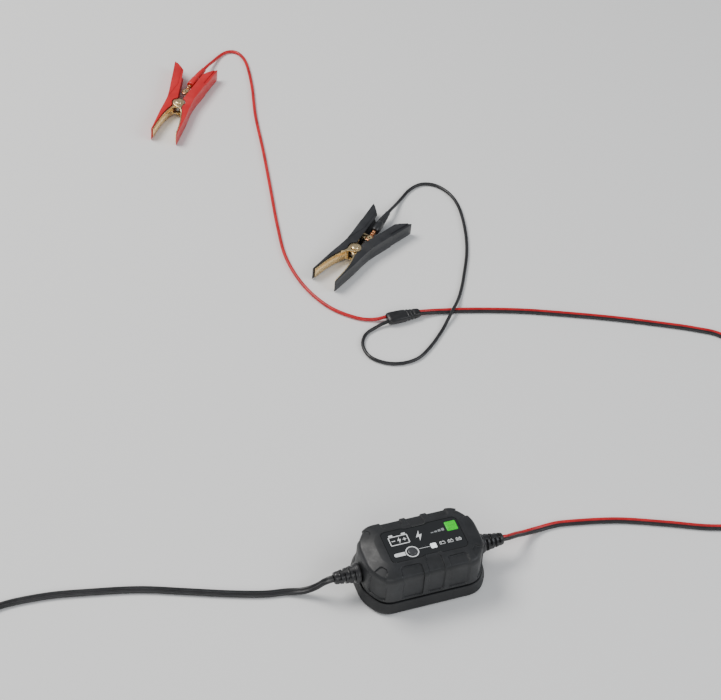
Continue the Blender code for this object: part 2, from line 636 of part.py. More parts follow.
# ---------------------------------------------------------------- clamps
# Local axes: s runs from the pivot towards the handles, v to the side of the half, z up.
OUTER_EDGE = [
    (-48.0, 13.2), (-33, 13.3), (-18, 13.4), (-6, 13.0), (4, 13.0), (12, 13.8), (27, 16.4),
    (41, 18.9), (58, 22.0),
]
HANDLE_END = [(61.2, 22.2), (50.0, 10.2)]
JAW_LINE = [(-6.2, 2.9), (-9, 4.4), (-13, 6.0), (-20, 7.8), (-27, 9.1), (-35, 10.1), (-46.5, 10.8)]
TOOTH_START, TOOTH_PITCH, TOOTH_DEPTH = -19.0, 2.2, 0.8
STRIP_THICK = 1.3
BOSS_CLEARANCE = 6.9


def offset(points, distance):
    """An open line moved sideways; a positive distance moves it to the left of its direction."""
    moved = []
    for i, point in enumerate(points):
        ahead = Vector(points[min(i + 1, len(points) - 1)]) - Vector(points[max(i - 1, 0)])
        ahead.normalize()
        moved.append((point[0] - ahead.y * distance, point[1] + ahead.x * distance))
    return moved


def sided(outline, side):
    return [(s * MM, side * v * MM) for s, v in outline]


def cover_outline():
    jaw = offset(JAW_LINE, -(STRIP_THICK + 0.3))
    boss = arc(0, 0, BOSS_CLEARANCE, 24, 128, 6)
    return OUTER_EDGE + HANDLE_END + boss + jaw[1:] + [(-49.2, 12.6)]


def cover_pocket():
    inside = offset(OUTER_EDGE[3:], -1.8)
    return [(-24, 11.5)] + inside + [(66, 21.6), (66, 0), (0, -3), (-14, 1), (-24, 5)]


def clamp_cover(name, side, material, place, turn):
    """One plastic half: a channel that is open towards the other half."""
    cover = make(name, prism(sided(cover_outline(), side), 0, CLAMP_DEPTH), material, place, turn)
    pocket = prism(sided(cover_pocket(), side), CLAMP_FLANGE, CLAMP_DEPTH - CLAMP_FLANGE)
    shape_with(cover, "DIFFERENCE", pocket, "channel")


def toothed_line():
    """The jaw's inner line, with teeth from TOOTH_START to the tip."""
    smooth = [point for point in JAW_LINE if point[0] > TOOTH_START]
    tip = JAW_LINE[-1][0]
    count = int((TOOTH_START - tip) / TOOTH_PITCH)
    for k in range(count):
        s = TOOTH_START - k * TOOTH_PITCH
        smooth.append((s, jaw_height(s) + TOOTH_DEPTH))
        smooth.append((s - TOOTH_PITCH * 0.5, jaw_height(s - TOOTH_PITCH * 0.5)))
    smooth.append((tip, jaw_height(tip) + 0.3))
    return smooth


def jaw_height(s):
    for (s1, v1), (s0, v0) in zip(JAW_LINE, JAW_LINE[1:]):
        if s0 <= s <= s1:
            return v0 + (v1 - v0) * (s - s0) / (s1 - s0)
    return JAW_LINE[-1][1]


def jaw_frame(name, side, ear_levels, with_tab, place, turn):
    """A toothed strip, two ears round the rivet and, on the fixed half, a tab for the wire."""
    back = offset(JAW_LINE, -STRIP_THICK)
    strip = prism(sided(toothed_line() + list(reversed(back)), side), 1.6 * MM, 12.4 * MM)
    frame = make(name, strip, finish("jaw_brass"), place, turn)
    pieces = []
    for low in ear_levels:
        ear = arc(0, 0, EAR_RADIUS / MM, -150, 112, 14)
        ear += [(-7.2, 4.9), (-12.8, 6.9), (-12.6, 6.2), (-8.4, 4.2)]
        pieces.append(prism(sided(ear, side), low * MM, (low + 0.9) * MM))
    shape_with(frame, "UNION", joined(*pieces), "ears")
    holes = [turned([(0, RIVET_RADIUS + GAP), (CLAMP_DEPTH, RIVET_RADIUS + GAP)], 14)]
    if with_tab:
        arm = [(2.0, 3.0), (4.5, 1.0), (14, 6.5), (27.4, 11.9), (27.0, 13.9), (13, 10.2)]
        wall = [(19.5, 11.0), (27.3, 12.9), (27.0, 14.1), (19.2, 12.3)]
        tab = [(19.9, 0), (21, -3.2), (24, -3.9), (26.6, -2.8), (27.4, 0), (26.8, 13.6), (20.0, 11.9)]
        rear = [prism(sided(arm, side), 2.0 * MM, 2.7 * MM), prism(sided(wall, side), 2.1 * MM, 11.9 * MM),
                prism(sided(tab, side), 6.6 * MM, 7.4 * MM)]
        shape_with(frame, "UNION", joined(*rear), "tab")
        holes.append(turned([(5 * MM, 1.9 * MM), (9 * MM, 1.9 * MM)], 16, (TERMINAL_S, 0, 0)))
    shape_with(frame, "DIFFERENCE", joined(*holes), "holes")


def clamp_rivet(name, place, turn):
    profile = [(0.4, 2.6), (0.7, 3.6), (1.6, 3.6), (1.6, 2.0), (13.5, 2.0), (13.5, 3.6), (14.1, 3.6),
               (14.6, 2.9), (14.8, 1.4)]
    make(name, turned([(z * MM, r * MM) for z, r in profile], 16), finish("jaw_brass"), place, turn)


def clamp_spring(name, place, turn):
    """A torsion spring round the rivet, with a leg that runs off the coil into each handle."""
    low, high, turns = 5.2 * MM, 8.8 * MM, 3
    foot_s, foot_v = 15.0 * MM, 10.8 * MM
    leave = math.atan2(foot_v, foot_s) + math.acos(SPRING_RADIUS / math.hypot(foot_s, foot_v))
    sweep = 2 * math.pi * turns - 2 * leave
    steps = 27
    points = [(foot_s, -foot_v, low)]
    for k in range(steps + 1):
        angle = -leave - sweep * k / steps
        points.append((SPRING_RADIUS * math.cos(angle), SPRING_RADIUS * math.sin(angle),
                       low + (high - low) * k / steps))
    points.append((foot_s, foot_v, high))
    spring = poly_tube(name, points, SPRING_WIRE, finish("spring_steel"))
    spring.location = place
    spring.rotation_euler = (0, 0, turn)


def wire_parts(name, side, material, place, turn):
    """Ring terminal with its crimp, the hollow rivet through it and the boot over the wire."""
    direction = side * TERMINAL_TILT
    spot = (place[0] + TERMINAL_S * math.cos(turn), place[1] + TERMINAL_S * math.sin(turn), 0)
    heading = turn + direction
    ring = arc(0, 0, 4.0, 35, 325, 14) + [(6.2, -1.5), (6.2, 1.5)]
    plate = prism(sided(ring, 1), 7.7 * MM, 8.5 * MM)
    plate = make(f"{name}_ring_terminal", plate, finish("copper_wire"), spot, heading)
    barrel = turned([(4.9 * MM, 1.6 * MM), (5.6 * MM, 2.1 * MM), (10.2 * MM, 2.1 * MM)], 16,
                    (0, 0, WIRE_LEVEL), "x")
    shape_with(plate, "UNION", barrel, "crimp")
    hole = turned([(5 * MM, 1.9 * MM), (11 * MM, 1.9 * MM)], 16)
    shape_with(plate, "DIFFERENCE", hole, "hole")
    eyelet = [(5.7, 0.9), (5.7, 2.7), (6.3, 2.7), (6.3, 1.6), (8.8, 1.6), (8.8, 2.7), (9.3, 2.5), (9.4, 0.9)]
    eyelet = hollow_ring([(z * MM, r * MM) for z, r in eyelet], 12)
    make(f"{name}_terminal_rivet", eyelet, finish("jaw_brass"), spot, heading)
    end = (BOOT_END - TERMINAL_S) / MM
    boot = [(10.5, 3.0), (11.4, 4.0), (22, 4.2), (25, 3.7), (34, 3.0), (end - 0.5, 2.5), (end, 2.1)]
    boot = turned([(x * MM, r * MM) for x, r in boot], 16, (0, 0, WIRE_LEVEL), "x")
    make(f"{name}_boot", boot, material, spot, heading)


def clamp(name, x, y, turn, fixed):
    place = (x, y, 0)
    material = finish(f"clamp_{name}")
    clamp_cover(f"{name}_fixed_handle", fixed, material, place, turn)
    clamp_cover(f"{name}_moving_handle", -fixed, material, place, turn)
    jaw_frame(f"{name}_fixed_jaw", fixed, (1.9, 12.3), True, place, turn)
    jaw_frame(f"{name}_moving_jaw", -fixed, (3.1, 11.1), False, place, turn)
    clamp_rivet(f"{name}_rivet", place, turn)
    clamp_spring(f"{name}_spring", place, turn)
    wire_parts(name, fixed, material, place, turn)


# ---------------------------------------------------------------- assembly
def main():
    clear_scene()
    base_shell()
    top_shell()
    seal_gasket()
    case_screws()
    front_panel()
    mode_button()
    light_pipe("charge_light", CHARGE_LIGHT, finish("green_light"))
    light_pipe("mode_light", MODE_LIGHT, finish("white_light"))
    display_pieces()
    strain_relief("mains_strain_relief", -1)
    strain_relief("dc_strain_relief", 1)
    main_board()
    transformer()
    board_parts()
    mains_cord()
    plug()
    dc_lead()
    lead_splitter()
    clamp_wires()
    for name, x, y, turn, fixed in CLAMPS:
        clamp(name, x, y, turn, fixed)


main()
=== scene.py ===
"""Looks of the car battery charger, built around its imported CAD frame."""
import bisect
import json
import math

import bmesh
import bpy
from mathutils import Matrix, Vector

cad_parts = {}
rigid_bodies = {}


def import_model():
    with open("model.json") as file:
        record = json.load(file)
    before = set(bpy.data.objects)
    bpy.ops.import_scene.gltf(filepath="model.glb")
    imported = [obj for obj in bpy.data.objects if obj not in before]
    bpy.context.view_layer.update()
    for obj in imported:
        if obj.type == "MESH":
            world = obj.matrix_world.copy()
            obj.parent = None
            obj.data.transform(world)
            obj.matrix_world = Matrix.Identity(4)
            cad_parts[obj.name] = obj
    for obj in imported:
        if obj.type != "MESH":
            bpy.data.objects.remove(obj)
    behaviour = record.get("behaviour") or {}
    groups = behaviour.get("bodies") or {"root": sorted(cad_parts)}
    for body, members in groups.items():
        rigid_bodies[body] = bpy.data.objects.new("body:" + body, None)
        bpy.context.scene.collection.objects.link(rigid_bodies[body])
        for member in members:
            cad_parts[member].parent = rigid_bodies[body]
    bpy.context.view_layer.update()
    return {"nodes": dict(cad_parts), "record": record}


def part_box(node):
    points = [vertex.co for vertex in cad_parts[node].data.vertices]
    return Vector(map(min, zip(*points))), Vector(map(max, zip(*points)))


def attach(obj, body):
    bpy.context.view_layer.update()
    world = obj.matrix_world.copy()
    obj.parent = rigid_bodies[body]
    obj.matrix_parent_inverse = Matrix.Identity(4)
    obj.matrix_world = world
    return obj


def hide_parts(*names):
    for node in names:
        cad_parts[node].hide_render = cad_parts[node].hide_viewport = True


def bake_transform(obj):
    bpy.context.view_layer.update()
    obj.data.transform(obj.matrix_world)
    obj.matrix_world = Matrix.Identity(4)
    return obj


MM = 0.001

for old in list(bpy.data.objects):
    bpy.data.objects.remove(old, do_unlink=True)
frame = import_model()
NODES = frame["nodes"]


def centre(node):
    low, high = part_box(node)
    return (low + high) / 2


# ---------------------------------------------------------------- sizes read from the frame
BODY_LOW, BODY_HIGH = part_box("base_shell")
BODY_LENGTH = BODY_HIGH.x - BODY_LOW.x
BODY_WIDTH = BODY_HIGH.y - BODY_LOW.y
BODY_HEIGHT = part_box("top_shell")[1].z
PANEL_LOW, PANEL_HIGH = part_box("front_panel")
BUTTON = centre("mode_button")
EXIT_HEIGHT = centre("dc_strain_relief").z
GAP = 0.3 * MM
TOP_INSET = 16.6 * MM

# clamp: pivot, direction of the handles, side of the half that holds the wire
CLAMPS = {
    "red": (centre("red_rivet"), math.radians(56.5), -1),
    "black": (centre("black_rivet"), math.radians(34.5), 1),
}
CLAMP_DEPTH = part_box("red_fixed_handle")[1].z
WIRE_LEVEL = 8.0 * MM


# ---------------------------------------------------------------- materials
class Shader:
    """A Principled material with its nodes, built a piece at a time."""

    def __init__(self, name, colour, roughness, metallic=0.0):
        self.material = bpy.data.materials.new(name)
        self.material.use_nodes = True
        self.tree = self.material.node_tree
        self.bsdf = self.tree.nodes["Principled BSDF"]
        self.set("Base Color", (*colour, 1))
        self.set("Roughness", roughness)
        self.set("Metallic", metallic)
        self.place = self.node("ShaderNodeTexCoord").outputs["Object"]
        self.height = None

    def node(self, kind, **inputs):
        made = self.tree.nodes.new(kind)
        for key, value in inputs.items():
            made.inputs[key.replace("_", " ")].default_value = value
        return made

    def set(self, socket, value):
        self.bsdf.inputs[socket].default_value = value

    def link(self, source, target):
        self.tree.links.new(source, target)

    def noise(self, scale, detail=3.0, roughness=0.5, stretch=None):
        made = self.node("ShaderNodeTexNoise", Scale=scale, Detail=detail, Roughness=roughness)
        source = self.place
        if stretch is not None:
            mapping = self.node("ShaderNodeMapping", Scale=stretch)
            self.link(source, mapping.inputs["Vector"])
            source = mapping.outputs["Vector"]
        self.link(source, made.inputs["Vector"])
        return made.outputs["Fac"]

    def ramp(self, source, low, high, from_low=0.3, from_high=0.7):
        made = self.node("ShaderNodeMapRange")
        limits = (("From Min", from_low), ("From Max", from_high), ("To Min", low), ("To Max", high))
        for key, value in limits:
            made.inputs[key].default_value = value
        self.link(source, made.inputs["Value"])
        return made.outputs["Result"]

    def vary_roughness(self, source, low, high):
        self.link(self.ramp(source, low, high), self.bsdf.inputs["Roughness"])

    def vary_colour(self, source, first, second, low=0.3, high=0.7):
        made = self.tree.nodes.new("ShaderNodeValToRGB")
        made.color_ramp.elements[0].position = low
        made.color_ramp.elements[0].color = (*first, 1)
        made.color_ramp.elements[1].position = high
        made.color_ramp.elements[1].color = (*second, 1)
        self.link(source, made.inputs["Fac"])
        self.link(made.outputs["Color"], self.bsdf.inputs["Base Color"])
        return made

    def bump(self, source, strength, distance):
        made = self.node("ShaderNodeBump", Strength=strength, Distance=distance)
        self.link(source, made.inputs["Height"])
        if self.height is not None:
            self.link(self.height, made.inputs["Normal"])
        self.height = made.outputs["Normal"]
        self.link(self.height, self.bsdf.inputs["Normal"])


def moulded(name, dark, light, roughness, grain=0.10, coat=0.0):
    """Moulded plastic: fine grain, uneven sheen, slightly paler where it is handled."""
    shader = Shader(name, light, roughness)
    broad = shader.noise(60, 3.0)
    shader.vary_colour(broad, dark, light)
    shader.vary_roughness(shader.noise(240, 4.0), roughness - 0.06, roughness + 0.07)
    shader.bump(shader.noise(5200, 2.0), grain, 0.00006)
    shader.bump(shader.noise(900, 3.0), grain * 0.5, 0.0001)
    shader.set("Specular IOR Level", 0.5)
    shader.set("Coat Weight", coat)
    shader.set("Coat Roughness", 0.3)
    return shader.material


def cord_jacket(name, dark, light, roughness=0.4):
    """Soft PVC jacket: faint lengthwise drag marks and dusty patches."""
    shader = Shader(name, light, roughness)
    shader.vary_colour(shader.noise(90, 4.0, 0.6), dark, light)
    shader.vary_roughness(shader.noise(400, 4.0), roughness - 0.08, roughness + 0.08)
    shader.bump(shader.noise(2600, 3.0), 0.12, 0.00008)
    shader.bump(shader.noise(160, 2.0), 0.10, 0.0004)
    return shader.material


def plated(name, colour, worn, roughness=0.26):
    """Plated metal: brushed scratches, and duller worn patches."""
    shader = Shader(name, colour, roughness, 1.0)
    shader.vary_colour(shader.noise(420, 5.0, 0.65), worn, colour, 0.32, 0.58)
    shader.vary_roughness(shader.noise(700, 4.0), roughness - 0.07, roughness + 0.14)
    shader.bump(shader.noise(1500, 2.0, 0.5, (1, 1, 8)), 0.12, 0.00008)
    return shader.material


def simple(name, colour, roughness, metallic=0.0, grain=800, depth=0.1, coat=0.0):
    shader = Shader(name, colour, roughness, metallic)
    darker = tuple(0.7 * c for c in colour)
    shader.vary_colour(shader.noise(grain * 0.2, 3.0), darker, colour)
    shader.vary_roughness(shader.noise(grain * 0.5, 3.0), roughness * 0.85, min(1, roughness * 1.2))
    shader.bump(shader.noise(grain, 2.0), depth, 0.00008)
    shader.set("Coat Weight", coat)
    return shader.material


def panel_material():
    """Glossy black film: near mirror, with the faint waviness of a stuck-down label."""
    shader = Shader("panel_gloss_film", (0.010, 0.011, 0.012), 0.16)
    shader.vary_roughness(shader.noise(300, 5.0, 0.7), 0.12, 0.24)
    shader.bump(shader.noise(110, 2.0), 0.05, 0.0003)
    shader.set("Coat Weight", 0.6)
    shader.set("Coat Roughness", 0.08)
    return shader.material


def printed(name, colour, strength=0.0):
    """Screen-printed ink: slightly rough and not quite even; a strength adds a painted glow, an emission that
    makes the ink brighter than its light.
    """
    shader = Shader(name, colour, 0.45)
    darker = tuple(0.82 * c for c in colour)
    shader.vary_colour(shader.noise(1500, 3.0), darker, colour)
    # painted glow: emission on ink, which is not a lamp
    if strength:
        shader.set("Emission Color", (*colour, 1))
        shader.set("Emission Strength", strength)
    return shader.material


def lit(name, colour, core, strength):
    """A lit diffuser: brighter towards its middle through a fine frosted texture."""
    shader = Shader(name, colour, 0.35)
    ramp = shader.vary_colour(shader.noise(700, 3.0), colour, core)
    shader.link(ramp.outputs["Color"], shader.bsdf.inputs["Emission Color"])
    shader.set("Emission Strength", strength)
    shader.bump(shader.noise(3000, 2.0), 0.15, 0.00008)
    return shader.material


MAT = {
    "case_black": moulded("case_plastic", (0.011, 0.012, 0.013), (0.019, 0.020, 0.022), 0.45, 0.16),
    "skirt_black": moulded("skirt_plastic", (0.009, 0.009, 0.010), (0.015, 0.016, 0.017), 0.52, 0.2),
    "seal_rubber": moulded("seal_rubber_black", (0.008, 0.008, 0.008), (0.014, 0.014, 0.014), 0.75),
    "panel_gloss": panel_material(),
    "button_rubber": moulded("button_dome", (0.035, 0.036, 0.040), (0.055, 0.057, 0.062), 0.3, 0.05, 0.3),
    "green_light": lit("green_lit", (0.005, 0.42, 0.005), (0.015, 0.60, 0.015), 0.4),
    "white_light": lit("white_lit", (0.72, 0.80, 0.80), (0.95, 0.98, 1.0), 0.7),
    "screw_steel": plated("zinc_plate", (0.62, 0.62, 0.64), (0.38, 0.38, 0.38), 0.35),
    "board_green": simple("solder_mask", (0.02, 0.13, 0.05), 0.35, 0, 900, 0.1, 0.4),
    "ferrite_grey": simple("ferrite", (0.07, 0.07, 0.075), 0.55, 0, 1500, 0.3),
    "copper_wire": plated("bare_copper", (0.80, 0.36, 0.17), (0.45, 0.19, 0.09), 0.28),
    "tape_yellow": simple("winding_tape", (0.78, 0.56, 0.05), 0.35, 0, 600, 0.15, 0.3),
    "can_blue": simple("capacitor_sleeve", (0.02, 0.05, 0.22), 0.3, 0, 700, 0.1, 0.3),
    "part_plastic": simple("moulded_epoxy", (0.025, 0.025, 0.027), 0.5, 0, 2500, 0.3),
    "sink_aluminium": plated("extruded_aluminium", (0.75, 0.75, 0.77), (0.55, 0.55, 0.56), 0.35),
    "cord_black": cord_jacket("jacket_black", (0.010, 0.010, 0.011), (0.022, 0.022, 0.024), 0.36),
    "cord_red": cord_jacket("jacket_red", (0.42, 0.006, 0.010), (0.66, 0.012, 0.018), 0.34),
    "clamp_red": moulded("clamp_plastic_red", (0.54, 0.010, 0.014), (0.70, 0.018, 0.022), 0.36, 0.08, 0.15),
    "clamp_black": moulded("clamp_plastic_black", (0.017, 0.018, 0.020), (0.030, 0.031, 0.035),
                           0.38, 0.1, 0.15),
    "jaw_brass": plated("brass_plate", (0.95, 0.76, 0.45), (0.86, 0.64, 0.34), 0.24),
    "spring_steel": plated("drawn_steel", (0.55, 0.55, 0.56), (0.30, 0.29, 0.28), 0.3),
    # the white print carries a painted glow of 0.12, so it shines brighter than the light that falls on it
    "print_white": printed("print_white", (0.78, 0.80, 0.80), 0.12),
    "print_grey": printed("print_grey", (0.30, 0.32, 0.33)),
}


# ---------------------------------------------------------------- mesh helpers
def arc(cx, cy, radius, start, end, steps):
    """Points on an arc, angles in degrees."""
    points = []
    for i in range(steps + 1):
        angle = math.radians(start + (end - start) * i / steps)
        points.append((cx + radius * math.cos(angle), cy + radius * math.sin(angle)))
    return points


def fillet(corners, radius, steps=8, closed=True):
    """An outline with its corners rounded; an open one keeps its two ends."""
    outline = []
    count = len(corners)
    for i, corner in enumerate(corners):
        if not closed and i in (0, count - 1):
            outline.append(tuple(corner))
            continue
        here = Vector(corner)
        before = Vector(corners[i - 1]) - here
        after = Vector(corners[(i + 1) % count]) - here
        reach = min(radius, 0.45 * before.length, 0.45 * after.length)
        first = here + before.normalized() * reach
        last = here + after.normalized() * reach
        for k in range(steps + 1):
            t = k / steps
            point = first * (1 - t) ** 2 + here * 2 * t * (1 - t) + last * t ** 2
            outline.append((point.x, point.y))
    return outline


def resample(points, step, closed=True):
    """Points along a line at about even steps, keeping none of the old corners."""
    loop = [Vector(p) for p in points]
    if closed:
        loop.append(loop[0])
    lengths = [(b - a).length for a, b in zip(loop, loop[1:])]
    total = sum(lengths)
    count = max(3, round(total / step))
    picked = []
    index, walked = 0, 0.0
    for k in range(count if closed else count + 1):
        target = total * k / count
        while index < len(lengths) - 1 and walked + lengths[index] < target:
            walked += lengths[index]
            index += 1
        share = (target - walked) / max(lengths[index], 1e-12)
        picked.append(tuple(loop[index].lerp(loop[index + 1], min(1.0, share))))
    return picked


def rectangle(half_x, half_y, cx=0.0, cy=0.0):
    return [(cx - half_x, cy - half_y), (cx + half_x, cy - half_y),
            (cx + half_x, cy + half_y), (cx - half_x, cy + half_y)]


def loft(rings, capped=True):
    """A body through rings of equal point count, capped at both ends."""
    bm = bmesh.new()
    made = [[bm.verts.new(point) for point in ring] for ring in rings]
    count = len(rings[0])
    for low, high in zip(made, made[1:]):
        for i in range(count):
            k = (i + 1) % count
            bm.faces.new((low[i], low[k], high[k], high[i]))
    if capped:
        bm.faces.new(list(reversed(made[0])))
        bm.faces.new(made[-1])
    return bm


def ring_body(rings):
    """A closed ring-shaped body: the last ring joins the first."""
    bm = bmesh.new()
    made = [[bm.verts.new(point) for point in ring] for ring in rings]
    count = len(rings[0])
    for a in range(len(made)):
        this, following = made[a], made[(a + 1) % len(made)]
        for i in range(count):
            k = (i + 1) % count
            bm.faces.new((this[i], this[k], following[k], following[i]))
    return bm


def prism(outline, low, high):
    return loft([[(x, y, low) for x, y in outline], [(x, y, high) for x, y in outline]])


def inset_outline(outline, distance):
    """A closed outline moved inwards; its points run counter-clockwise."""
    if distance <= 0:
        return list(outline)
    moved = []
    count = len(outline)
    for i, (x, y) in enumerate(outline):
        ahead = Vector(outline[(i + 1) % count]) - Vector(outline[i - 1])
        ahead.normalize()
        moved.append((x - ahead.y * distance, y + ahead.x * distance))
    return moved


def placed(axis, middle, radius, along, angle):
    side, rise = radius * math.cos(angle), radius * math.sin(angle)
    cx, cy, cz = middle
    if axis == "x":
        return (cx + along, cy + side, cz + rise)
    return (cx + side, cy + rise, cz + along)


def turned(profile, steps, middle=(0, 0, 0), axis="z"):
    """A solid turned from (along, radius) pairs, flat at both ends."""
    rings = []
    for along, radius in profile:
        rings.append([placed(axis, middle, radius, along, 2 * math.pi * k / steps) for k in range(steps)])
    return loft(rings)


def rod(low, high, radius, steps, middle=(0, 0, 0), axis="z"):
    """A straight round bar; its ends and radius are in millimetres."""
    return turned([(low * MM, radius * MM), (high * MM, radius * MM)], steps, middle, axis)


def make(name, bm, materials, body, replaced=(), place=(0, 0, 0), turn=0.0, angle=35):
    """Store a mesh as a piece that rides on a body and stands for CAD nodes."""
    bmesh.ops.recalc_face_normals(bm, faces=bm.faces[:])
    mesh = bpy.data.meshes.new(name)
    bm.to_mesh(mesh)
    bm.free()
    obj = bpy.data.objects.new(name, mesh)
    bpy.context.scene.collection.objects.link(obj)
    for material in materials if isinstance(materials, (list, tuple)) else [materials]:
        mesh.materials.append(material)
    mesh.transform(Matrix.Translation(place) @ Matrix.Rotation(turn, 4, "Z"))
    smooth(obj, angle)
    if body:
        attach(obj, body)
    if replaced:
        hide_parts(*replaced)
    return obj


def smooth(obj, angle=35):
    obj.data.shade_smooth()
    obj.data.set_sharp_from_angle(angle=math.radians(angle))


def apply_modifiers(obj):
    graph = bpy.context.evaluated_depsgraph_get()
    final = bpy.data.meshes.new_from_object(obj.evaluated_get(graph))
    obj.modifiers.clear()
    old = obj.data
    obj.data = final
    bpy.data.meshes.remove(old)


def shape_with(obj, operation, *tools):
    """Cut or join obj with loose bodies in its own axes, and keep only the result."""
    made = []
    for bm in tools:
        bmesh.ops.recalc_face_normals(bm, faces=bm.faces[:])
        mesh = bpy.data.meshes.new("tool")
        bm.to_mesh(mesh)
        bm.free()
        tool = bpy.data.objects.new("tool", mesh)
        bpy.context.scene.collection.objects.link(tool)
        modifier = obj.modifiers.new("shape", "BOOLEAN")
        modifier.operation = operation
        modifier.object = tool
        modifier.solver = "EXACT"
        made.append(tool)
    apply_modifiers(obj)
    for tool in made:
        bpy.data.objects.remove(tool, do_unlink=True)


def soften(obj, width, segments=2, angle=35):
    """Round the sharp edges by a bevel and keep the result."""
    modifier = obj.modifiers.new("soften", "BEVEL")
    modifier.width = width
    modifier.segments = segments
    modifier.limit_method = "ANGLE"
    modifier.angle_limit = math.radians(angle)
    modifier.harden_normals = False
    apply_modifiers(obj)
    smooth(obj, 50)


def moved(bm, place, turn):
    bm.transform(Matrix.Translation(place) @ Matrix.Rotation(turn, 4, "Z"))
    return bm


# ---------------------------------------------------------------- camera
CAMERA_PLACE = Vector((-0.4993, -0.9668, 1.3627))
CAMERA_TARGET = Vector((0.0412, 0.2511, 0.0))
CAMERA_ROLL = math.radians(5.9)
CAMERA_LENS = 106.5


def add_camera():
    data = bpy.data.cameras.new("camera")
    data.lens = CAMERA_LENS
    data.sensor_width = 36
    camera = bpy.data.objects.new("camera", data)
    bpy.context.scene.collection.objects.link(camera)
    forward = (CAMERA_TARGET - CAMERA_PLACE).normalized()
    level = forward.cross(Vector((0, 0, 1))).normalized()
    rise = level.cross(forward)
    right = level * math.cos(CAMERA_ROLL) + rise * math.sin(CAMERA_ROLL)
    up = rise * math.cos(CAMERA_ROLL) - level * math.sin(CAMERA_ROLL)
    turn = Matrix((right, up, -forward)).transposed().to_4x4()
    camera.matrix_world = Matrix.Translation(CAMERA_PLACE) @ turn
    bpy.context.scene.camera = camera


# ---------------------------------------------------------------- cords: routes in millimetres
MAINS_ROUTE = (
    (-73.2, 0, 20.0), (-77, 0.2, 19.4), (-81, 1.2, 16.8), (-86, 3, 10.8), (-95, 6, 4.6), (-108, 11, 1.8),
    (-127, 14.5, 0), (-154, 23, 0), (-184, 34, 0), (-219, 46.5, 0), (-256, 55, 0), (-293, 61.5, 0),
    (-330, 62, 0), (-352, 52.5, 0), (-372, 42, 0),
)
MAINS_TAIL = ((-446.2, 109.5, 4.2), (-443.5, 128.5, 5.6), (-439.4, 140.0, 7.4), (-436.2, 146.7, 7.9))
LEAD_OUT = (
    (73.2, 0, 20.0), (77, 0.2, 19.5), (81, 1.8, 17.6), (89, 5.5, 12.8), (99, 9.5, 7.0), (111, 12.9, 2.8),
    (125, 14.5, 0), (141, 13, 0), (181, 4, 0), (219, -10.5, 0), (255, -25.5, 0), (285, -32, 0),
    (315, -31, 0), (345, -19.5, 0), (368, -2.5, 0),
)
LEAD_BACK = (
    (398.5, 77.5, 0), (392.5, 110.5, 0), (382, 149.5, 0), (366, 177.5, 0), (346, 191.5, 0),
    (321, 204.5, 0), (281, 223.5, 0), (241, 240.5, 0), (200, 256.5, 0), (157, 269.5, 0),
    (128, 276, 1.8), (107.8, 277.5, 4.2),
)
RED_WIRE = (
    (75.8, 280.7, 4.2), (66, 281.9, 2.4), (50, 289.5, 0), (31, 309.5, 0), (18, 341.5, 0), (14, 381.5, 0),
    (20, 425.5, 0), (30, 477.5, 0), (40, 530.5, 0), (49, 583.5, 0), (59, 625.5, 0), (64.5, 657, 0),
    (65, 674.5, 0), (60.5, 685.5, 0), (51.5, 688, 0), (42, 683, 1.8), (32.5, 674, 4.0),
    (24.4, 665.6, 7.0), (18.6, 659.5, 8.0),
)
BLACK_WIRE = (
    (75.8, 274.3, 4.2), (66, 273, 2.4), (52, 267, 0), (44.5, 254.5, 0), (46, 239.5, 0), (57, 228.5, 0),
    (72, 224, 0), (88, 226.5, 0), (104, 237.5, 0), (118, 250.5, 0), (129, 262, 3.4), (138.5, 272.5, 5.1),
    (147, 283, 3.4), (156, 296.5, 0), (165, 312.5, 0), (180, 342.5, 0), (190, 371.5, 0), (196, 401.5, 0),
    (195, 422.5, 0), (186.5, 438.5, 0), (173.5, 444.5, 0), (159.5, 440, 0), (146.9, 429.7, 1.8),
    (137.6, 420.6, 4.0), (130.1, 413.2, 7.0), (124.8, 408, 8.0),
)
MAINS_WIDTH, MAINS_THICK = 6.5, 3.3
LEAD_WIDTH, LEAD_THICK = 6.0, 3.0
WIRE_DIAMETER = 3.2
# a coil: how far its ties hold it off the floor, the play between turns, the stretch in which it rises
TIE_LIFT = 0.9
COIL_SLACK = 0.25
RAMP = math.radians(75)


def catmull(points, closeness):
    """Points on a smooth curve through the route, at most closeness apart."""
    nodes = [Vector(p) for p in points]
    nodes = [nodes[0] * 2 - nodes[1]] + nodes + [nodes[-1] * 2 - nodes[-2]]
    line = [nodes[1]]
    for a, b, c, d in zip(nodes, nodes[1:], nodes[2:], nodes[3:]):
        steps = max(1, math.ceil((c - b).length / closeness))
        for k in range(1, steps + 1):
            t = k / steps
            line.append(0.5 * (2 * b + (c - a) * t + (2 * a - 5 * b + 4 * c - d) * t ** 2
                               + (3 * b - a - 3 * c + d) * t ** 3))
    return line


def smoothstep(t):
    t = max(0.0, min(1.0, t))
    return t * t * (3 - 2 * t)


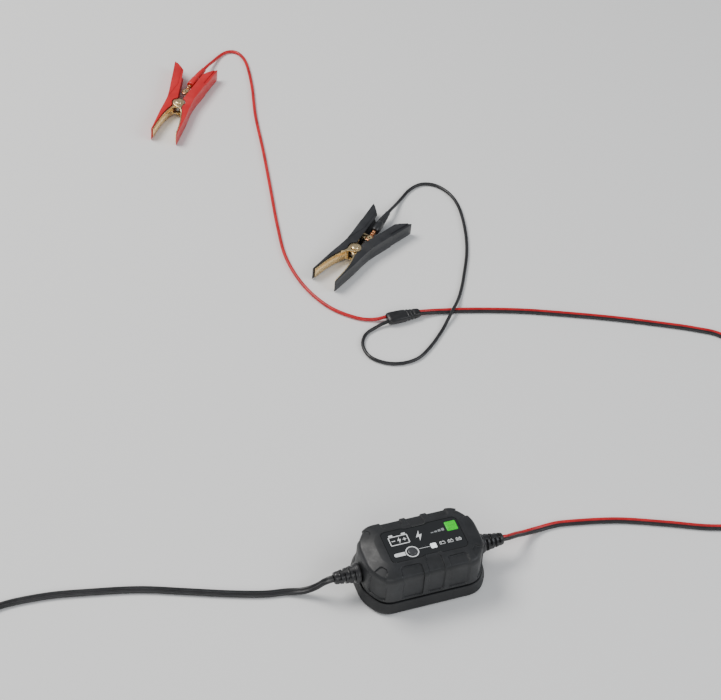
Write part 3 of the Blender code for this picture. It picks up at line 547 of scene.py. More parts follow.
def coil_turns(node, start, end, turns, direction, width, pitch, steps=40):
    """Two-layer coil inside a CAD ring: in along the floor layer, out along the upper one."""
    low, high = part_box(node)
    cx, cy = (low.x + high.x) / 2 / MM, (low.y + high.y) / 2 / MM
    outer = (high.x - low.x) / 2 / MM
    start_angle = math.atan2(start[1] - cy, start[0] - cx)
    end_angle = math.atan2(end[1] - cy, end[0] - cx)
    start_radius = math.hypot(start[0] - cx, start[1] - cy)
    end_radius = math.hypot(end[0] - cx, end[1] - cy)
    sweep = (end_angle - start_angle) * direction % (2 * math.pi) + 2 * math.pi * (turns - 1)
    wide = outer - 1.2 - pitch / 2
    count = int(steps * sweep / (2 * math.pi))
    points = []
    for k in range(count + 1):
        share = k / count
        gone = sweep * share
        half = 1 - abs(2 * share - 1)
        radius = wide - pitch * half * sweep / (4 * math.pi)
        lead_in = smoothstep(1 - gone / RAMP)
        lead_out = smoothstep(1 - (sweep - gone) / RAMP)
        radius += (start_radius - radius) * lead_in + (end_radius - radius) * lead_out
        climb = smoothstep((share - 0.5) / 0.09 + 0.5)
        height = TIE_LIFT + width / 2 + 0.15 + climb * (width + COIL_SLACK)
        entry = width / 2 + 0.1
        lifted = height * (1 - lead_in) + entry * lead_in
        lifted = lifted * (1 - lead_out) + entry * lead_out
        angle = start_angle + direction * gone
        points.append((cx + radius * math.cos(angle), cy + radius * math.sin(angle), lifted))
    return points


def twin_section(width, thick, steps=10):
    """Two round conductors side by side with a thin web; points are (across, up)."""
    r = thick / 2
    c = width / 2 - r
    gamma = math.degrees(math.asin(0.52))
    right = arc(c, 0, r, -(180 - gamma), 180 - gamma, steps * 2)
    left = arc(-c, 0, r, gamma, 360 - gamma, steps * 2)
    return right + [(0, r * 0.5)] + left + [(0, -r * 0.5)]


def round_section(diameter, steps=16):
    return arc(0, 0, diameter / 2, 0, 360 - 360 / steps, steps - 1)


def swept(name, path, section, tilts, materials, body, replaced):
    """Sweep a section along a path; tilt turns its wide axis up from level."""
    rings = []
    count = len(path)
    for i, (point, tilt) in enumerate(zip(path, tilts)):
        ahead = (path[min(i + 1, count - 1)] - path[max(i - 1, 0)]).normalized()
        side = Vector((-ahead.y, ahead.x, 0)).normalized()
        rise = ahead.cross(side)
        wide = side * math.cos(tilt) + rise * math.sin(tilt)
        thin = rise * math.cos(tilt) - side * math.sin(tilt)
        rings.append([point + wide * a * MM + thin * b * MM for a, b in section])
    bm = loft(rings)
    if len(materials) > 1:
        middle = [sum(a for a, _ in pair) for pair in zip(section, section[1:] + section[:1])]
        bm.faces.ensure_lookup_table()
        for index, face in enumerate(bm.faces):
            if index < (count - 1) * len(section):
                face.material_index = 0 if middle[index % len(section)] > 0 else 1
    return make(name, bm, materials, body, replaced, angle=50)


def floor_clear(points, rest):
    """Lift points that would lie in the floor to the height at which the cord rests."""
    return [Vector((x, y, max(z, lift))) * MM for (x, y, z), lift in zip(points, rest)]


def tilted_rest(width, thick, tilt):
    return thick / 2 + (width - thick) / 2 * abs(math.sin(tilt)) + 0.05


def coiled_cord(name, first, coil_node, last, turns, direction, size, tilt_stops, materials, replaced):
    """A flat cord: route out, two-layer coil, route back. Returns the piece and its path."""
    width, thick = size
    coil = coil_turns(coil_node, first[-1], last[0], turns, direction, width, thick + COIL_SLACK)
    out = [tuple(p) for p in catmull(first + (coil[1],), 4.0)][:-1]
    back = [tuple(p) for p in catmull((coil[-2],) + last, 4.0)]
    trim = min(range(len(out)), key=lambda i: math.dist(out[i][:2], first[-1][:2]))
    rejoin = min(range(1, 9), key=lambda i: math.dist(back[i][:2], last[0][:2]))
    points = out[:trim] + coil + back[rejoin + 1:]
    a, b = trim, trim + len(coil)
    before, edge_on, after = tilt_stops
    ramp = 16
    tilts = []
    for i in range(len(points)):
        tilt = before + (edge_on - before) * smoothstep((i - a + ramp) / (ramp + 6))
        tilt += (after - edge_on) * smoothstep((i - b + 6) / (ramp + 6))
        tilts.append(tilt)
    rest = [tilted_rest(width, thick, t) for t in tilts]
    path = even_path(floor_clear(points, rest))
    piece = swept(name, path, twin_section(width, thick), tilts, materials, "charger", replaced)
    return piece, path


def even_path(path):
    """Soften small kinks in height where stretches meet, keeping the ends."""
    for _ in range(3):
        heights = [p.z for p in path]
        for i in range(2, len(path) - 2):
            path[i] = Vector((path[i].x, path[i].y, (heights[i - 1] + 2 * heights[i] + heights[i + 1]) / 4))
    return path


def mains_cord():
    piece, path = coiled_cord(
        "mains_flex", MAINS_ROUTE, "mains_cord_coil", MAINS_TAIL, 7, -1, (MAINS_WIDTH, MAINS_THICK),
        (0, math.pi / 2, 0), [MAT["cord_black"]], ("mains_cord", "mains_cord_coil", "mains_cord_tail"))


def dc_lead():
    piece, path = coiled_cord(
        "dc_lead", LEAD_OUT, "dc_lead_coil", LEAD_BACK, 4, 1, (LEAD_WIDTH, LEAD_THICK),
        (0, math.pi / 2, math.pi), [MAT["cord_red"], MAT["cord_black"]],
        ("dc_lead_out", "dc_lead_coil", "dc_lead_back"))


def clamp_wire(name, node, route, material):
    points = [tuple(p) for p in catmull(route, 4.0)]
    rest = [WIRE_DIAMETER / 2 + 0.05] * len(points)
    path = even_path(floor_clear(points, rest))
    piece = swept(name, path, round_section(WIRE_DIAMETER), [0.0] * len(path), [MAT[material]],
                  "charger", (node,))


# ---------------------------------------------------------------- pieces on the cords
def superellipse(half_a, half_b, power, steps, start):
    """A rounded rectangle by formula; start is the first point's share of a step."""
    points = []
    for k in range(steps):
        t = 2 * math.pi * (k + start) / steps
        a, b = math.cos(t), math.sin(t)
        points.append((half_a * math.copysign(abs(a) ** power, a),
                       half_b * math.copysign(abs(b) ** power, b)))
    return points


def lead_splitter():
    """The moulding where the lead divides, with three shallow grip grooves."""
    low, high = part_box("lead_splitter")
    middle = (low + high) / 2
    stations = (
        (0, 5.0, 2.4), (0.03, 5.9, 3.2), (0.1, 6.3, 3.6), (0.3, 6.4, 3.8), (0.5, 6.1, 3.8), (0.56, 5.9, 3.7),
        (0.575, 5.5, 3.35), (0.60, 5.4, 3.3), (0.615, 5.6, 3.6), (0.66, 5.4, 3.5), (0.675, 5.0, 3.1),
        (0.70, 4.95, 3.05), (0.715, 5.15, 3.4), (0.76, 4.9, 3.3), (0.775, 4.6, 2.9), (0.80, 4.55, 2.9),
        (0.815, 4.8, 3.2), (0.9, 4.5, 3.1), (0.96, 4.2, 2.8), (1, 3.6, 2.2),
    )
    rings = []
    for share, half_y, half_z in stations:
        x = low.x + (high.x - low.x) * share
        section = superellipse(half_y * MM, half_z * MM, 0.62, 48, 0)
        rings.append([(x, middle.y + y, middle.z + z) for y, z in section])
    return make("wire_splitter", loft(rings), MAT["cord_black"], "charger", ("lead_splitter",))


PLUG_HEADING = math.radians(62)
PLUG_PLACE = Vector((-435.8, 147.5, 0)) * MM


def plug():
    """Two-blade plug body: ribbed neck, broad grip with a shallow waist, flat face."""
    low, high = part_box("plug_body")
    level = (low.z + high.z) / 2 / MM
    stations = [(0.2, 2.6, 2.6), (0.6, 3.3, 3.2)]
    for k in range(4):
        x = 1.4 + 2.6 * k
        grow = 0.25 * k
        stations += [(x, 3.6 + grow, 3.5 + grow), (x + 1.5, 3.8 + grow, 3.7 + grow),
                     (x + 1.7, 3.1 + grow, 3.0 + grow), (x + 2.4, 3.15 + grow, 3.05 + grow)]
    stations += [(12.2, 5.4, 4.8), (14.5, 8.2, 5.9), (17, 10.2, 6.7), (20, 11.4, 7.2), (24, 11.5, 7.0),
                 (28, 11.4, 6.9), (31.5, 12.1, 7.3), (34.6, 12.3, 7.5), (35.6, 11.9, 7.1), (36, 11.2, 6.5)]
    rings = []
    for x, half_y, half_z in stations:
        section = superellipse(half_y, half_z, 0.6, 56, 0.5)
        rings.append([(x * MM, y * MM, (level + z) * MM) for y, z in section])
    body = make("plug_grip", loft(rings), MAT["cord_black"], "charger", ("plug_body",),
                PLUG_PLACE, PLUG_HEADING)
    slots = []
    for side in (-1, 1):
        y = side * 6.35 * MM
        slot_shape = prism([(29.2 * MM, y - 1.05 * MM), (38 * MM, y - 1.05 * MM), (38 * MM, y + 1.05 * MM),
                            (29.2 * MM, y + 1.05 * MM)], (level - 3.45) * MM, (level + 3.45) * MM)
        slots.append(moved(slot_shape, PLUG_PLACE, PLUG_HEADING))
    shape_with(body, "DIFFERENCE", *slots)
    smooth(body, 40)
    return body


COIL_BUILD = {"mains_cord_coil": 12.5 * MM, "dc_lead_coil": 9.0 * MM}


def coil_tie(name, node, coil_node, heading):
    """A hook-and-loop strap round the coil's section."""
    low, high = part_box(coil_node)
    middle = (low + high) / 2
    radius = (high.x - low.x) / 2
    tie_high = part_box(node)[1].z
    build = COIL_BUILD[coil_node]
    mid_radius = radius - build / 2
    half = build / 2 + GAP + 0.3 * MM
    thick, width = 0.6 * MM, 4.0 * MM
    bottom, top = 0.02 * MM, tie_high - 0.4 * MM
    outer = fillet([(-half, bottom), (half, bottom), (half, top), (-half, top)], 2.0 * MM, 6)
    inner = inset_outline(outer, thick)
    loops = []
    for outline, along in ((outer, -width), (outer, width), (inner, width), (inner, -width)):
        loops.append([(mid_radius + r, along / 2, z) for r, z in outline])
    return make(name, ring_body(loops), MAT["seal_rubber"], "charger", (node,),
                (middle.x, middle.y, 0), heading)


# ---------------------------------------------------------------- case
def body_ring(inset, steps=14):
    """The case outline at an inset: a rectangle with long corner cuts, all rounded."""
    half_x = BODY_LENGTH / 2 - inset
    half_y = BODY_WIDTH / 2 - inset
    share = max(0.0, min(1.0, inset / TOP_INSET))
    cut_x = (12 - 6 * share) * MM
    cut_y = (18 - 11 * share) * MM
    corners = [
        (half_x, -half_y + cut_y), (half_x, half_y - cut_y), (half_x - cut_x, half_y),
        (-half_x + cut_x, half_y), (-half_x, half_y - cut_y), (-half_x, -half_y + cut_y),
        (-half_x + cut_x, -half_y), (half_x - cut_x, -half_y),
    ]
    return fillet(corners, (10 - 5 * share) * MM, steps)


def spokes(count):
    """Directions from the centre that are even along the case's own outline."""
    outline = resample(body_ring(4 * MM), 1.0 * MM)
    even = resample(outline, (sum(math.dist(a, b) for a, b in zip(outline, outline[1:]))) / count)
    return [math.atan2(y, x) for x, y in even]


def at_spokes(outline, angles):
    """Where rays from the centre cross an outline."""
    dense = resample(outline, 0.3 * MM)
    polar = sorted((math.atan2(y, x), math.hypot(x, y)) for x, y in dense)
    polar = [(polar[-1][0] - 2 * math.pi, polar[-1][1])] + polar + [(polar[0][0] + 2 * math.pi, polar[0][1])]
    keys = [a for a, _ in polar]
    found = []
    for angle in angles:
        k = bisect.bisect_right(keys, angle)
        (a0, r0), (a1, r1) = polar[k - 1], polar[k]
        share = (angle - a0) / max(a1 - a0, 1e-9)
        radius = r0 + (r1 - r0) * share
        found.append((radius * math.cos(angle), radius * math.sin(angle)))
    return found


def rounded_box(x, y, x0, x1, y0, y1, radius):
    """Signed distance to a rounded rectangle, negative inside."""
    cx, cy = (x0 + x1) / 2, (y0 + y1) / 2
    dx = abs(x - cx) - (x1 - x0) / 2 + radius
    dy = abs(y - cy) - (y1 - y0) / 2 + radius
    outside = math.hypot(max(dx, 0), max(dy, 0))
    return outside + min(max(dx, dy), 0) - radius


POST_X, POST_Y = 36 * MM, 20 * MM
# pads: from, to along the side and from, to up the profile, in millimetres
FRONT_PADS = ((-25.7, -8.2, 2.2, 36.1), (-3.6, 9.8, 2.2, 39.7), (14.7, 31.3, 2.2, 36.1))
CORNER_PAD = (-8.2, 8.2, 2.2, 34.5)
PAD_DEPTH = 1.2


def pad_depth(x, y, climb):
    """How far the surface sinks at a place on the side; climb is the way up the profile in mm."""
    half_x, half_y = BODY_LENGTH / 2 / MM, BODY_WIDTH / 2 / MM
    best = 9.0
    if abs(x) < half_x - 12.5:
        for x0, x1, low, high in FRONT_PADS:
            best = min(best, rounded_box(x, climb, x0, x1, low, high, 2.4))
    sx, sy = math.copysign(1, x), math.copysign(1, y)
    along = ((x * sx - (half_x - 7.6)) * -0.42 + (y * sy - (half_y - 10.6)) * 0.60) / 0.735
    if x * sx > half_x - 17 and y * sy > half_y - 22:
        x0, x1, low, high = CORNER_PAD
        narrow = 1.0 - 0.55 * max(0.0, (climb - 16) / 18)
        best = min(best, rounded_box(along, climb, x0 * narrow, x1 * narrow, low, high, 2.0))
    return smoothstep(0.5 - best / 0.55)


def case_top():
    """Upper shell: dense outer skin with sunken pads, panel pocket, plain inner skin."""
    angles = spokes(720)
    profile = fillet([(12.4, 3.5), (13.0, 2.9), (36.1, 3.6), (39.4, 5.2), (42.7, 15.6), (43.0, 16.6)],
                     3.2, 8, False)
    profile = resample(profile, 0.42, False)
    rings = []
    inner = [(40.5, 16.6), (37.1, 7.0), (12.4, 5.2)]
    for z, inset in inner:
        rings.append([(x, y, z * MM) for x, y in at_spokes(body_ring(inset * MM), angles)])
    climb = 0.0
    last = profile[0]
    for index, (z, inset) in enumerate(profile):
        climb += math.dist((z, inset), last)
        last = (z, inset)
        before, after = profile[max(index - 1, 0)], profile[min(index + 1, len(profile) - 1)]
        dz, di = after[0] - before[0], after[1] - before[1]
        size = math.hypot(dz, di)
        inwards, downwards = dz / size, di / size
        here = at_spokes(body_ring(inset * MM), angles)
        deeper = at_spokes(body_ring((inset + 1) * MM), angles)
        ring = []
        for (x, y), (dx, dy) in zip(here, deeper):
            depth = PAD_DEPTH * pad_depth(x / MM, y / MM, climb)
            push = Vector((dx - x, dy - y)) / MM * depth * inwards * MM
            ring.append((x + push.x, y + push.y, z * MM - depth * downwards * MM))
        rings.append(ring)
    rim = panel_outline(0.06 * MM)
    wall = panel_outline(0.05 * MM)
    floor_level = PANEL_LOW.z - 0.2 * MM
    rings.append([(x, y, BODY_HEIGHT) for x, y in at_spokes(rim, angles)])
    rings.append([(x, y, BODY_HEIGHT - 0.1 * MM) for x, y in at_spokes(wall, angles)])
    rings.append([(x, y, floor_level) for x, y in at_spokes(wall, angles)])
    shell = make("case_top", loft(rings), MAT["case_black"], "charger", ("top_shell",),
                 angle=38)
    posts, holes = [], []
    for sx in (-1, 1):
        for sy in (-1, 1):
            spot = (sx * POST_X, sy * POST_Y, 0)
            posts.append(rod(12.4, 38.3, 3.4, 24, spot))
            holes.append(rod(11, 22, 1.5, 16, spot))
        exit_spot = (sx * 50 * MM, 0, EXIT_HEIGHT)
        holes.append(rod(-8, 8, 5.3, 40, exit_spot, "x"))
    holes.append(rod(35, 45, 4.3, 40, (BUTTON.x, BUTTON.y, 0)))
    for node in ("charge_light", "mode_light"):
        low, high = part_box(node)
        opening = [(low.x - GAP, low.y - GAP), (high.x + GAP, low.y - GAP),
                   (high.x + GAP, high.y + GAP), (low.x - GAP, high.y + GAP)]
        holes.append(prism(opening, 35 * MM, 45 * MM))
    shape_with(shell, "UNION", *posts)
    shape_with(shell, "DIFFERENCE", *holes)
    smooth(shell, 38)


def case_base():
    """Lower shell: rounded skirt with a raised lip at the seam, floor, posts and screw holes."""
    angles = spokes(360)
    outer = fillet([(0, 2.2), (0.15, 1.7), (1.0, 0.5), (3.0, 0.0), (9.6, 1.9), (10.6, 2.0),
                    (11.2, 2.5), (11.2, 3.0)], 1.0, 5, False)
    inner = [(11.2, 4.8), (3.2, 3.4), (2.0, 4.6)]
    rings = []
    for z, inset in outer + inner:
        rings.append([(x, y, z * MM) for x, y in at_spokes(body_ring(inset * MM), angles)])
    shell = make("case_base", loft(rings), MAT["skirt_black"], "charger", ("base_shell",))
    posts, holes = [], []
    for sx in (-1, 1):
        for sy in (-1, 1):
            spot = (sx * POST_X, sy * POST_Y, 0)
            board_spot = (sx * 25 * MM, sy * POST_Y, 0)
            posts.append(rod(1, 11, 4.6, 32, spot))
            posts.append(rod(1, 6.7, 2.4, 20, board_spot))
            holes.append(turned([(-1 * MM, 3.3 * MM), (4.4 * MM, 3.3 * MM), (4.4 * MM, 1.7 * MM),
                                 (13 * MM, 1.7 * MM)], 32, spot))
    shape_with(shell, "UNION", *posts)
    shape_with(shell, "DIFFERENCE", *holes)
    smooth(shell, 38)


def panel_outline(grow, steps=8):
    """The control panel's outline, with a shallow wave in each long edge."""
    cx = (PANEL_LOW.x + PANEL_HIGH.x) / 2
    half_x = (PANEL_HIGH.x - PANEL_LOW.x) / 2 + GAP + grow
    half_y = (PANEL_HIGH.y - PANEL_LOW.y) / 2 + GAP + grow
    dip = 1.3 * MM
    corners = [
        (cx - half_x, -half_y), (-5.2 * MM, -half_y), (-3.0 * MM, -half_y + dip),
        (9.2 * MM, -half_y + dip), (11.4 * MM, -half_y), (cx + half_x, -half_y),
        (cx + half_x, half_y), (10.2 * MM, half_y), (7.6 * MM, half_y - dip),
        (-9.4 * MM, half_y - dip), (-12.0 * MM, half_y), (cx - half_x, half_y),
    ]
    return fillet(corners, 4.5 * MM, steps)


def control_panel():
    outline = resample(panel_outline(-GAP, 12), 0.5 * MM)
    low, high = PANEL_LOW.z, PANEL_HIGH.z
    levels = ((low, 0.1), (low + 0.1 * MM, 0.0), (high - 0.03 * MM, 0.0), (high, 0.03))
    rings = [[(x, y, z) for x, y in inset_outline(outline, inset * MM)] for z, inset in levels]
    panel = make("control_panel", loft(rings), MAT["panel_gloss"], "charger", ("front_panel",))
    holes = [rod(35, 45, 4.2, 48, (BUTTON.x, BUTTON.y, 0))]
    for node in ("charge_light", "mode_light"):
        light_low, light_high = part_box(node)
        middle, size = (light_low + light_high) / 2, light_high - light_low
        play = 0.12 * MM
        shape = fillet(rectangle(size.x / 2 + play, size.y / 2 + play, middle.x, middle.y), 1.0 * MM)
        holes.append(prism(shape, 35 * MM, 45 * MM))
    shape_with(panel, "DIFFERENCE", *holes)
    smooth(panel, 12)


def print_piece(name, outline, material="print_white", hole=None):
    """A printed mark: a film 0.05 mm thick that lies on the panel."""
    low = PANEL_HIGH.z + 0.005 * MM
    high = low + 0.045 * MM
    if hole is None:
        bm = prism([(x * MM, y * MM) for x, y in outline], low, high)
    else:
        loops = []
        for ring, z in ((outline, low), (outline, high), (hole, high), (hole, low)):
            loops.append([(x * MM, y * MM, z) for x, y in ring])
        bm = ring_body(loops)
    return make(name, bm, MAT[material], "charger")


def framed(cx, cy, half_x, half_y, line, radius=0.5):
    outer = fillet(rectangle(half_x, half_y, cx, cy), radius, 5)
    inner = fillet(rectangle(half_x - line, half_y - line, cx, cy), max(0.15, radius - line * 0.5), 5)
    return outer, inner


def panel_print():
    """Generic marks only: a ring, a pill, a line, battery and bolt pictograms and charge bars."""
    bx, by = BUTTON.x / MM, BUTTON.y / MM
    print_piece("print_button_ring", arc(bx, by, 5.5, 0, 357.5, 143), hole=arc(bx, by, 4.55, 0, 357.5, 143))
    pill = arc(bx - 13.6, by - 0.2, 1.75, 100, 260, 16)
    pill += [(bx - 5.9, by - 1.95), (bx - 6.15, by - 0.4), (bx - 5.9, by + 1.55)]
    print_piece("print_pill", pill)
    low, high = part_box("mode_light")
    light_y = (low.y + high.y) / 2 / MM
    print_piece("print_link", rectangle((low.x / MM - 0.7 - (bx + 6.0)) / 2, 0.16,
                                        (low.x / MM - 0.7 + bx + 6.0) / 2, light_y))
    start = high.x / MM + 2.6
    for number in range(3):
        cx = start + 2.6 + 7.0 * number
        outer, inner = framed(cx, light_y + 0.5, 2.3, 1.25, 0.32)
        print_piece(f"print_mode_{number + 1}", outer, hole=inner)
        print_piece(f"print_mode_post_{number + 1}_a", rectangle(0.42, 0.28, cx - 1.2, light_y + 2.1))
        print_piece(f"print_mode_post_{number + 1}_b", rectangle(0.42, 0.28, cx + 1.2, light_y + 2.1))
        for bar in range(number + 1):
            print_piece(f"print_mode_bar_{number + 1}_{bar + 1}",
                        rectangle(0.28, 0.55, cx - 1.1 + 1.1 * bar, light_y + 0.5))
    clow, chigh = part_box("charge_light")
    charge_y = (clow.y + chigh.y) / 2 / MM
    for number in range(4):
        print_piece(f"print_charge_bar_{number + 1}",
                    fillet(rectangle(1.15, 0.5 + 0.28 * number, clow.x / MM - 12.6 + 3.1 * number,
                                     charge_y - 2.6 + 0.28 * number), 0.25, 3), "print_grey")
    left = PANEL_LOW.x / MM + 4.2
    outer, inner = framed(left + 8.6, 5.2, 8.2, 4.6, 0.8, 1.1)
    print_piece("print_battery_case", outer, hole=inner)
    for number, offset_x in enumerate((3.2, 14.0)):
        print_piece(f"print_battery_post_{number + 1}",
                    fillet(rectangle(1.7, 0.75, left + offset_x, 10.75), 0.25, 3))
    print_piece("print_minus", rectangle(1.5, 0.36, left + 3.9, 5.2))
    arm, bar = 1.5, 0.36
    plus = [(-arm, -bar), (-bar, -bar), (-bar, -arm), (bar, -arm), (bar, -bar), (arm, -bar),
            (arm, bar), (bar, bar), (bar, arm), (-bar, arm), (-bar, bar), (-arm, bar)]
    print_piece("print_plus", [(left + 13.3 + x, 5.2 + y) for x, y in plus])
    bolt = [(-0.2, -3.2), (1.9, 0.9), (0.35, 0.65), (0.9, 3.3), (-1.6, -0.7), (0.0, -0.45)]
    print_piece("print_bolt", [(left + 8.6 + x, 5.2 + y) for x, y in bolt])
    big_bolt = [(-0.5, -5.2), (3.0, 1.4), (0.55, 1.0), (1.5, 5.4), (-2.7, -1.1), (-0.1, -0.75)]
    print_piece("print_big_bolt", [(left + 25.4 + x, 5.0 + y) for x, y in big_bolt])


def mode_button():
    """A rubber dome with a turned-down edge and a shallow thumb dish."""
    low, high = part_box("mode_button")
    top = high.z
    r = 3.9 * MM
    flange = r + 0.9 * MM
    profile = [(low.z, 1.5 * MM), (low.z + 0.1 * MM, 1.6 * MM), (38.9 * MM, 1.6 * MM),
               (38.9 * MM, flange), (39.6 * MM, flange), (39.6 * MM, r)]
    edge = top - 1.25 * MM
    profile += [(edge, r)]
    for k in range(1, 13):
        a = math.pi / 2 * k / 12
        profile.append((edge + 1.15 * MM * math.sin(a), r - 1.5 * MM * (1 - math.cos(a))))
    profile += [(top - 0.08 * MM, 1.9 * MM), (top - 0.14 * MM, 1.2 * MM), (top - 0.17 * MM, 0.5 * MM)]
    make("mode_button_dome", turned(profile, 64, (BUTTON.x, BUTTON.y, 0)), MAT["button_rubber"], "button",
         ("mode_button",))


def light_pipe(name, node, material):
    low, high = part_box(node)
    cx, cy = (low.x + high.x) / 2, (low.y + high.y) / 2
    half = (high.x - low.x) / 2
    top = high.z
    rings = []
    for z, inset in ((low.z, 0.0), (top - 0.35 * MM, 0.0), (top - 0.2 * MM, 0.08), (top - 0.08 * MM, 0.25),
                     (top, 0.6)):
        outline = fillet(rectangle(half - inset * MM, half - inset * MM, cx, cy), 1.0 * MM)
        rings.append([(x, y, z) for x, y in outline])
    make(name, loft(rings), MAT[material], "charger", (node,))


# one slot of a relief: share of the pitch, share of the full depth
SLOT_SHAPE = (
    (0.0, 0.0), (0.08, 0.0), (0.14, 0.9), (0.2, 1.0), (0.5, 1.0), (0.56, 0.9), (0.62, 0.0), (0.8, 0.0),
)


def strain_relief(name, node, side):
    """Moulded bend relief: collar, then a taper with staggered slots."""
    steps = 120
    rings = []

    def ring(x, radius, cut=0.0, phase=0.0):
        points = []
        for k in range(steps):
            angle = 2 * math.pi * k / steps
            wave = abs(math.cos(angle + phase))
            notch = cut * smoothstep((wave - 0.30) / 0.10)
            points.append(placed("x", (0, 0, EXIT_HEIGHT), (radius - notch) * MM, side * x * MM, angle))
        return points

    collar = ((44.8, 6.6), (45.1, 7.0), (46.6, 7.0), (46.9, 6.7), (46.9, 4.9), (52.1, 4.9), (52.1, 8.3),
              (52.4, 8.65), (54.0, 8.65), (54.5, 8.4), (55.0, 7.9), (55.5, 7.7))
    for x, radius in collar:
        rings.append(ring(x, radius))
    slots, start, end = 4, 55.8, 71.4
    pitch = (end - start) / slots
    for k in range(slots):
        phase = math.pi / 2 * (k % 2)
        for share, depth in SLOT_SHAPE:
            x = start + (k + share) * pitch
            radius = 7.7 - 2.5 * ((x - start) / (end - start)) ** 0.85
            rings.append(ring(x, radius, depth * 1.8, phase))
    for x, radius in ((71.5, 5.1), (72.2, 4.95), (72.7, 4.6), (73.0, 4.0)):
        rings.append(ring(x, radius))
    make(name, loft(rings), MAT["cord_black"], "charger", (node,), angle=40)


# ---------------------------------------------------------------- clamps
# Local axes in millimetres: s from the pivot to the handles, v to the side of the half.
OUTER_EDGE = [
    (-48.0, 13.2), (-33, 13.3), (-18, 13.4), (-6, 13.0), (4, 13.0), (12, 13.8), (27, 16.4),
    (41, 18.9), (58, 22.0),
]
HANDLE_END = [(61.2, 22.2), (50.0, 10.2)]
JAW_LINE = [(-6.2, 2.9), (-9, 4.4), (-13, 6.0), (-20, 7.8), (-27, 9.1), (-35, 10.1), (-46.5, 10.8)]
TOOTH_START, TOOTH_PITCH, TOOTH_DEPTH = -19.0, 2.2, 0.8
STRIP_THICK = 1.3
TERMINAL_S = 23.6
TERMINAL_TILT = math.radians(10)
BOOT_END = 64.0


def offset(points, distance):
    """An open line moved sideways; positive is to the left of its direction."""
    line = []
    for i, point in enumerate(points):
        ahead = Vector(points[min(i + 1, len(points) - 1)]) - Vector(points[max(i - 1, 0)])
        ahead.normalize()
        line.append((point[0] - ahead.y * distance, point[1] + ahead.x * distance))
    return line


def open_curve(points, closeness):
    return [(p.x, p.y) for p in catmull([(x, y, 0) for x, y in points], closeness)]


JAW_CURVE = open_curve(JAW_LINE, 1.0)
OUTER_CURVE = open_curve(OUTER_EDGE, 2.5)


def jaw_height(s):
    for (s1, v1), (s0, v0) in zip(JAW_CURVE, JAW_CURVE[1:]):
        if s0 <= s <= s1:
            return v0 + (v1 - v0) * (s - s0) / (s1 - s0)
    return JAW_CURVE[-1][1]


def sided(outline, side):
    flipped = [(s * MM, side * v * MM) for s, v in outline]
    return flipped if side > 0 else flipped[::-1]


def cover_outline():
    jaw = [point for point in offset(JAW_CURVE, -(STRIP_THICK + 0.3)) if point[0] < -8.3]
    boss = arc(0, 0, 6.9, 24, 128, 20)
    end = fillet([OUTER_CURVE[-1]] + HANDLE_END + [(30, 6.8)], 1.2, 5, False)[1:-1]
    return OUTER_CURVE + end + boss + jaw + [(-49.2, 12.6)]


def cover_pocket():
    inside = offset([point for point in OUTER_CURVE if point[0] > -7], -1.8)
    return [(-24, 11.5)] + inside + [(66, 21.6), (66, 0), (0, -3), (-14, 1), (-24, 5)]


def settle(obj, place, turn, body, node):
    """Carry a finished mesh from its own axes to its place, on its body, for a CAD node."""
    obj.data.transform(Matrix.Translation(place) @ Matrix.Rotation(turn, 4, "Z"))
    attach(obj, body)
    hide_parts(node)


def clamp_cover(name, node, side, material, body, place, turn):
    """One plastic half: a channel open to the other half, with a stepped grip and a finger notch."""
    cover = make(name, prism(sided(cover_outline(), side), 0.0, CLAMP_DEPTH), MAT[material], None)
    shape_with(cover, "DIFFERENCE", prism(sided(cover_pocket(), side), 1.3 * MM, CLAMP_DEPTH - 1.3 * MM))
    step = [(-60, -4), (26.5, 4.0), (27.2, 9.0), (6.5, 12.5), (4, 30), (-60, 30)]
    lip = [(27.2, 9.0), (26.5, 4.0), (70, 11.5), (70, 15.5)]
    grip = [(70, 40), (70, 21.5)] + arc(36.5, 17.6, 2.6, -60, -240, 16) + [(33.0, 40)]
    for outline, depth in ((step, 0.5 * MM), (lip, 0.5 * MM), (grip, 0.95 * MM)):
        shape_with(cover, "DIFFERENCE", prism(sided(outline, side), CLAMP_DEPTH - depth, CLAMP_DEPTH + MM),
                   prism(sided(outline, side), -MM, depth))
    soften(cover, 0.25 * MM, 2, 40)
    settle(cover, place, turn, body, node)


def toothed_line():
    line = [point for point in JAW_CURVE if point[0] > TOOTH_START]
    tip = JAW_LINE[-1][0]
    for k in range(int((TOOTH_START - tip) / TOOTH_PITCH)):
        s = TOOTH_START - k * TOOTH_PITCH
        for share, rise in ((0.02, 0.75), (0.12, 0.8), (0.5, 0.05), (0.6, 0.0), (0.9, 0.6)):
            spot = s - TOOTH_PITCH * share
            line.append((spot, jaw_height(spot) + TOOTH_DEPTH * rise))
    line.append((tip, jaw_height(tip) + 0.3))
    return line


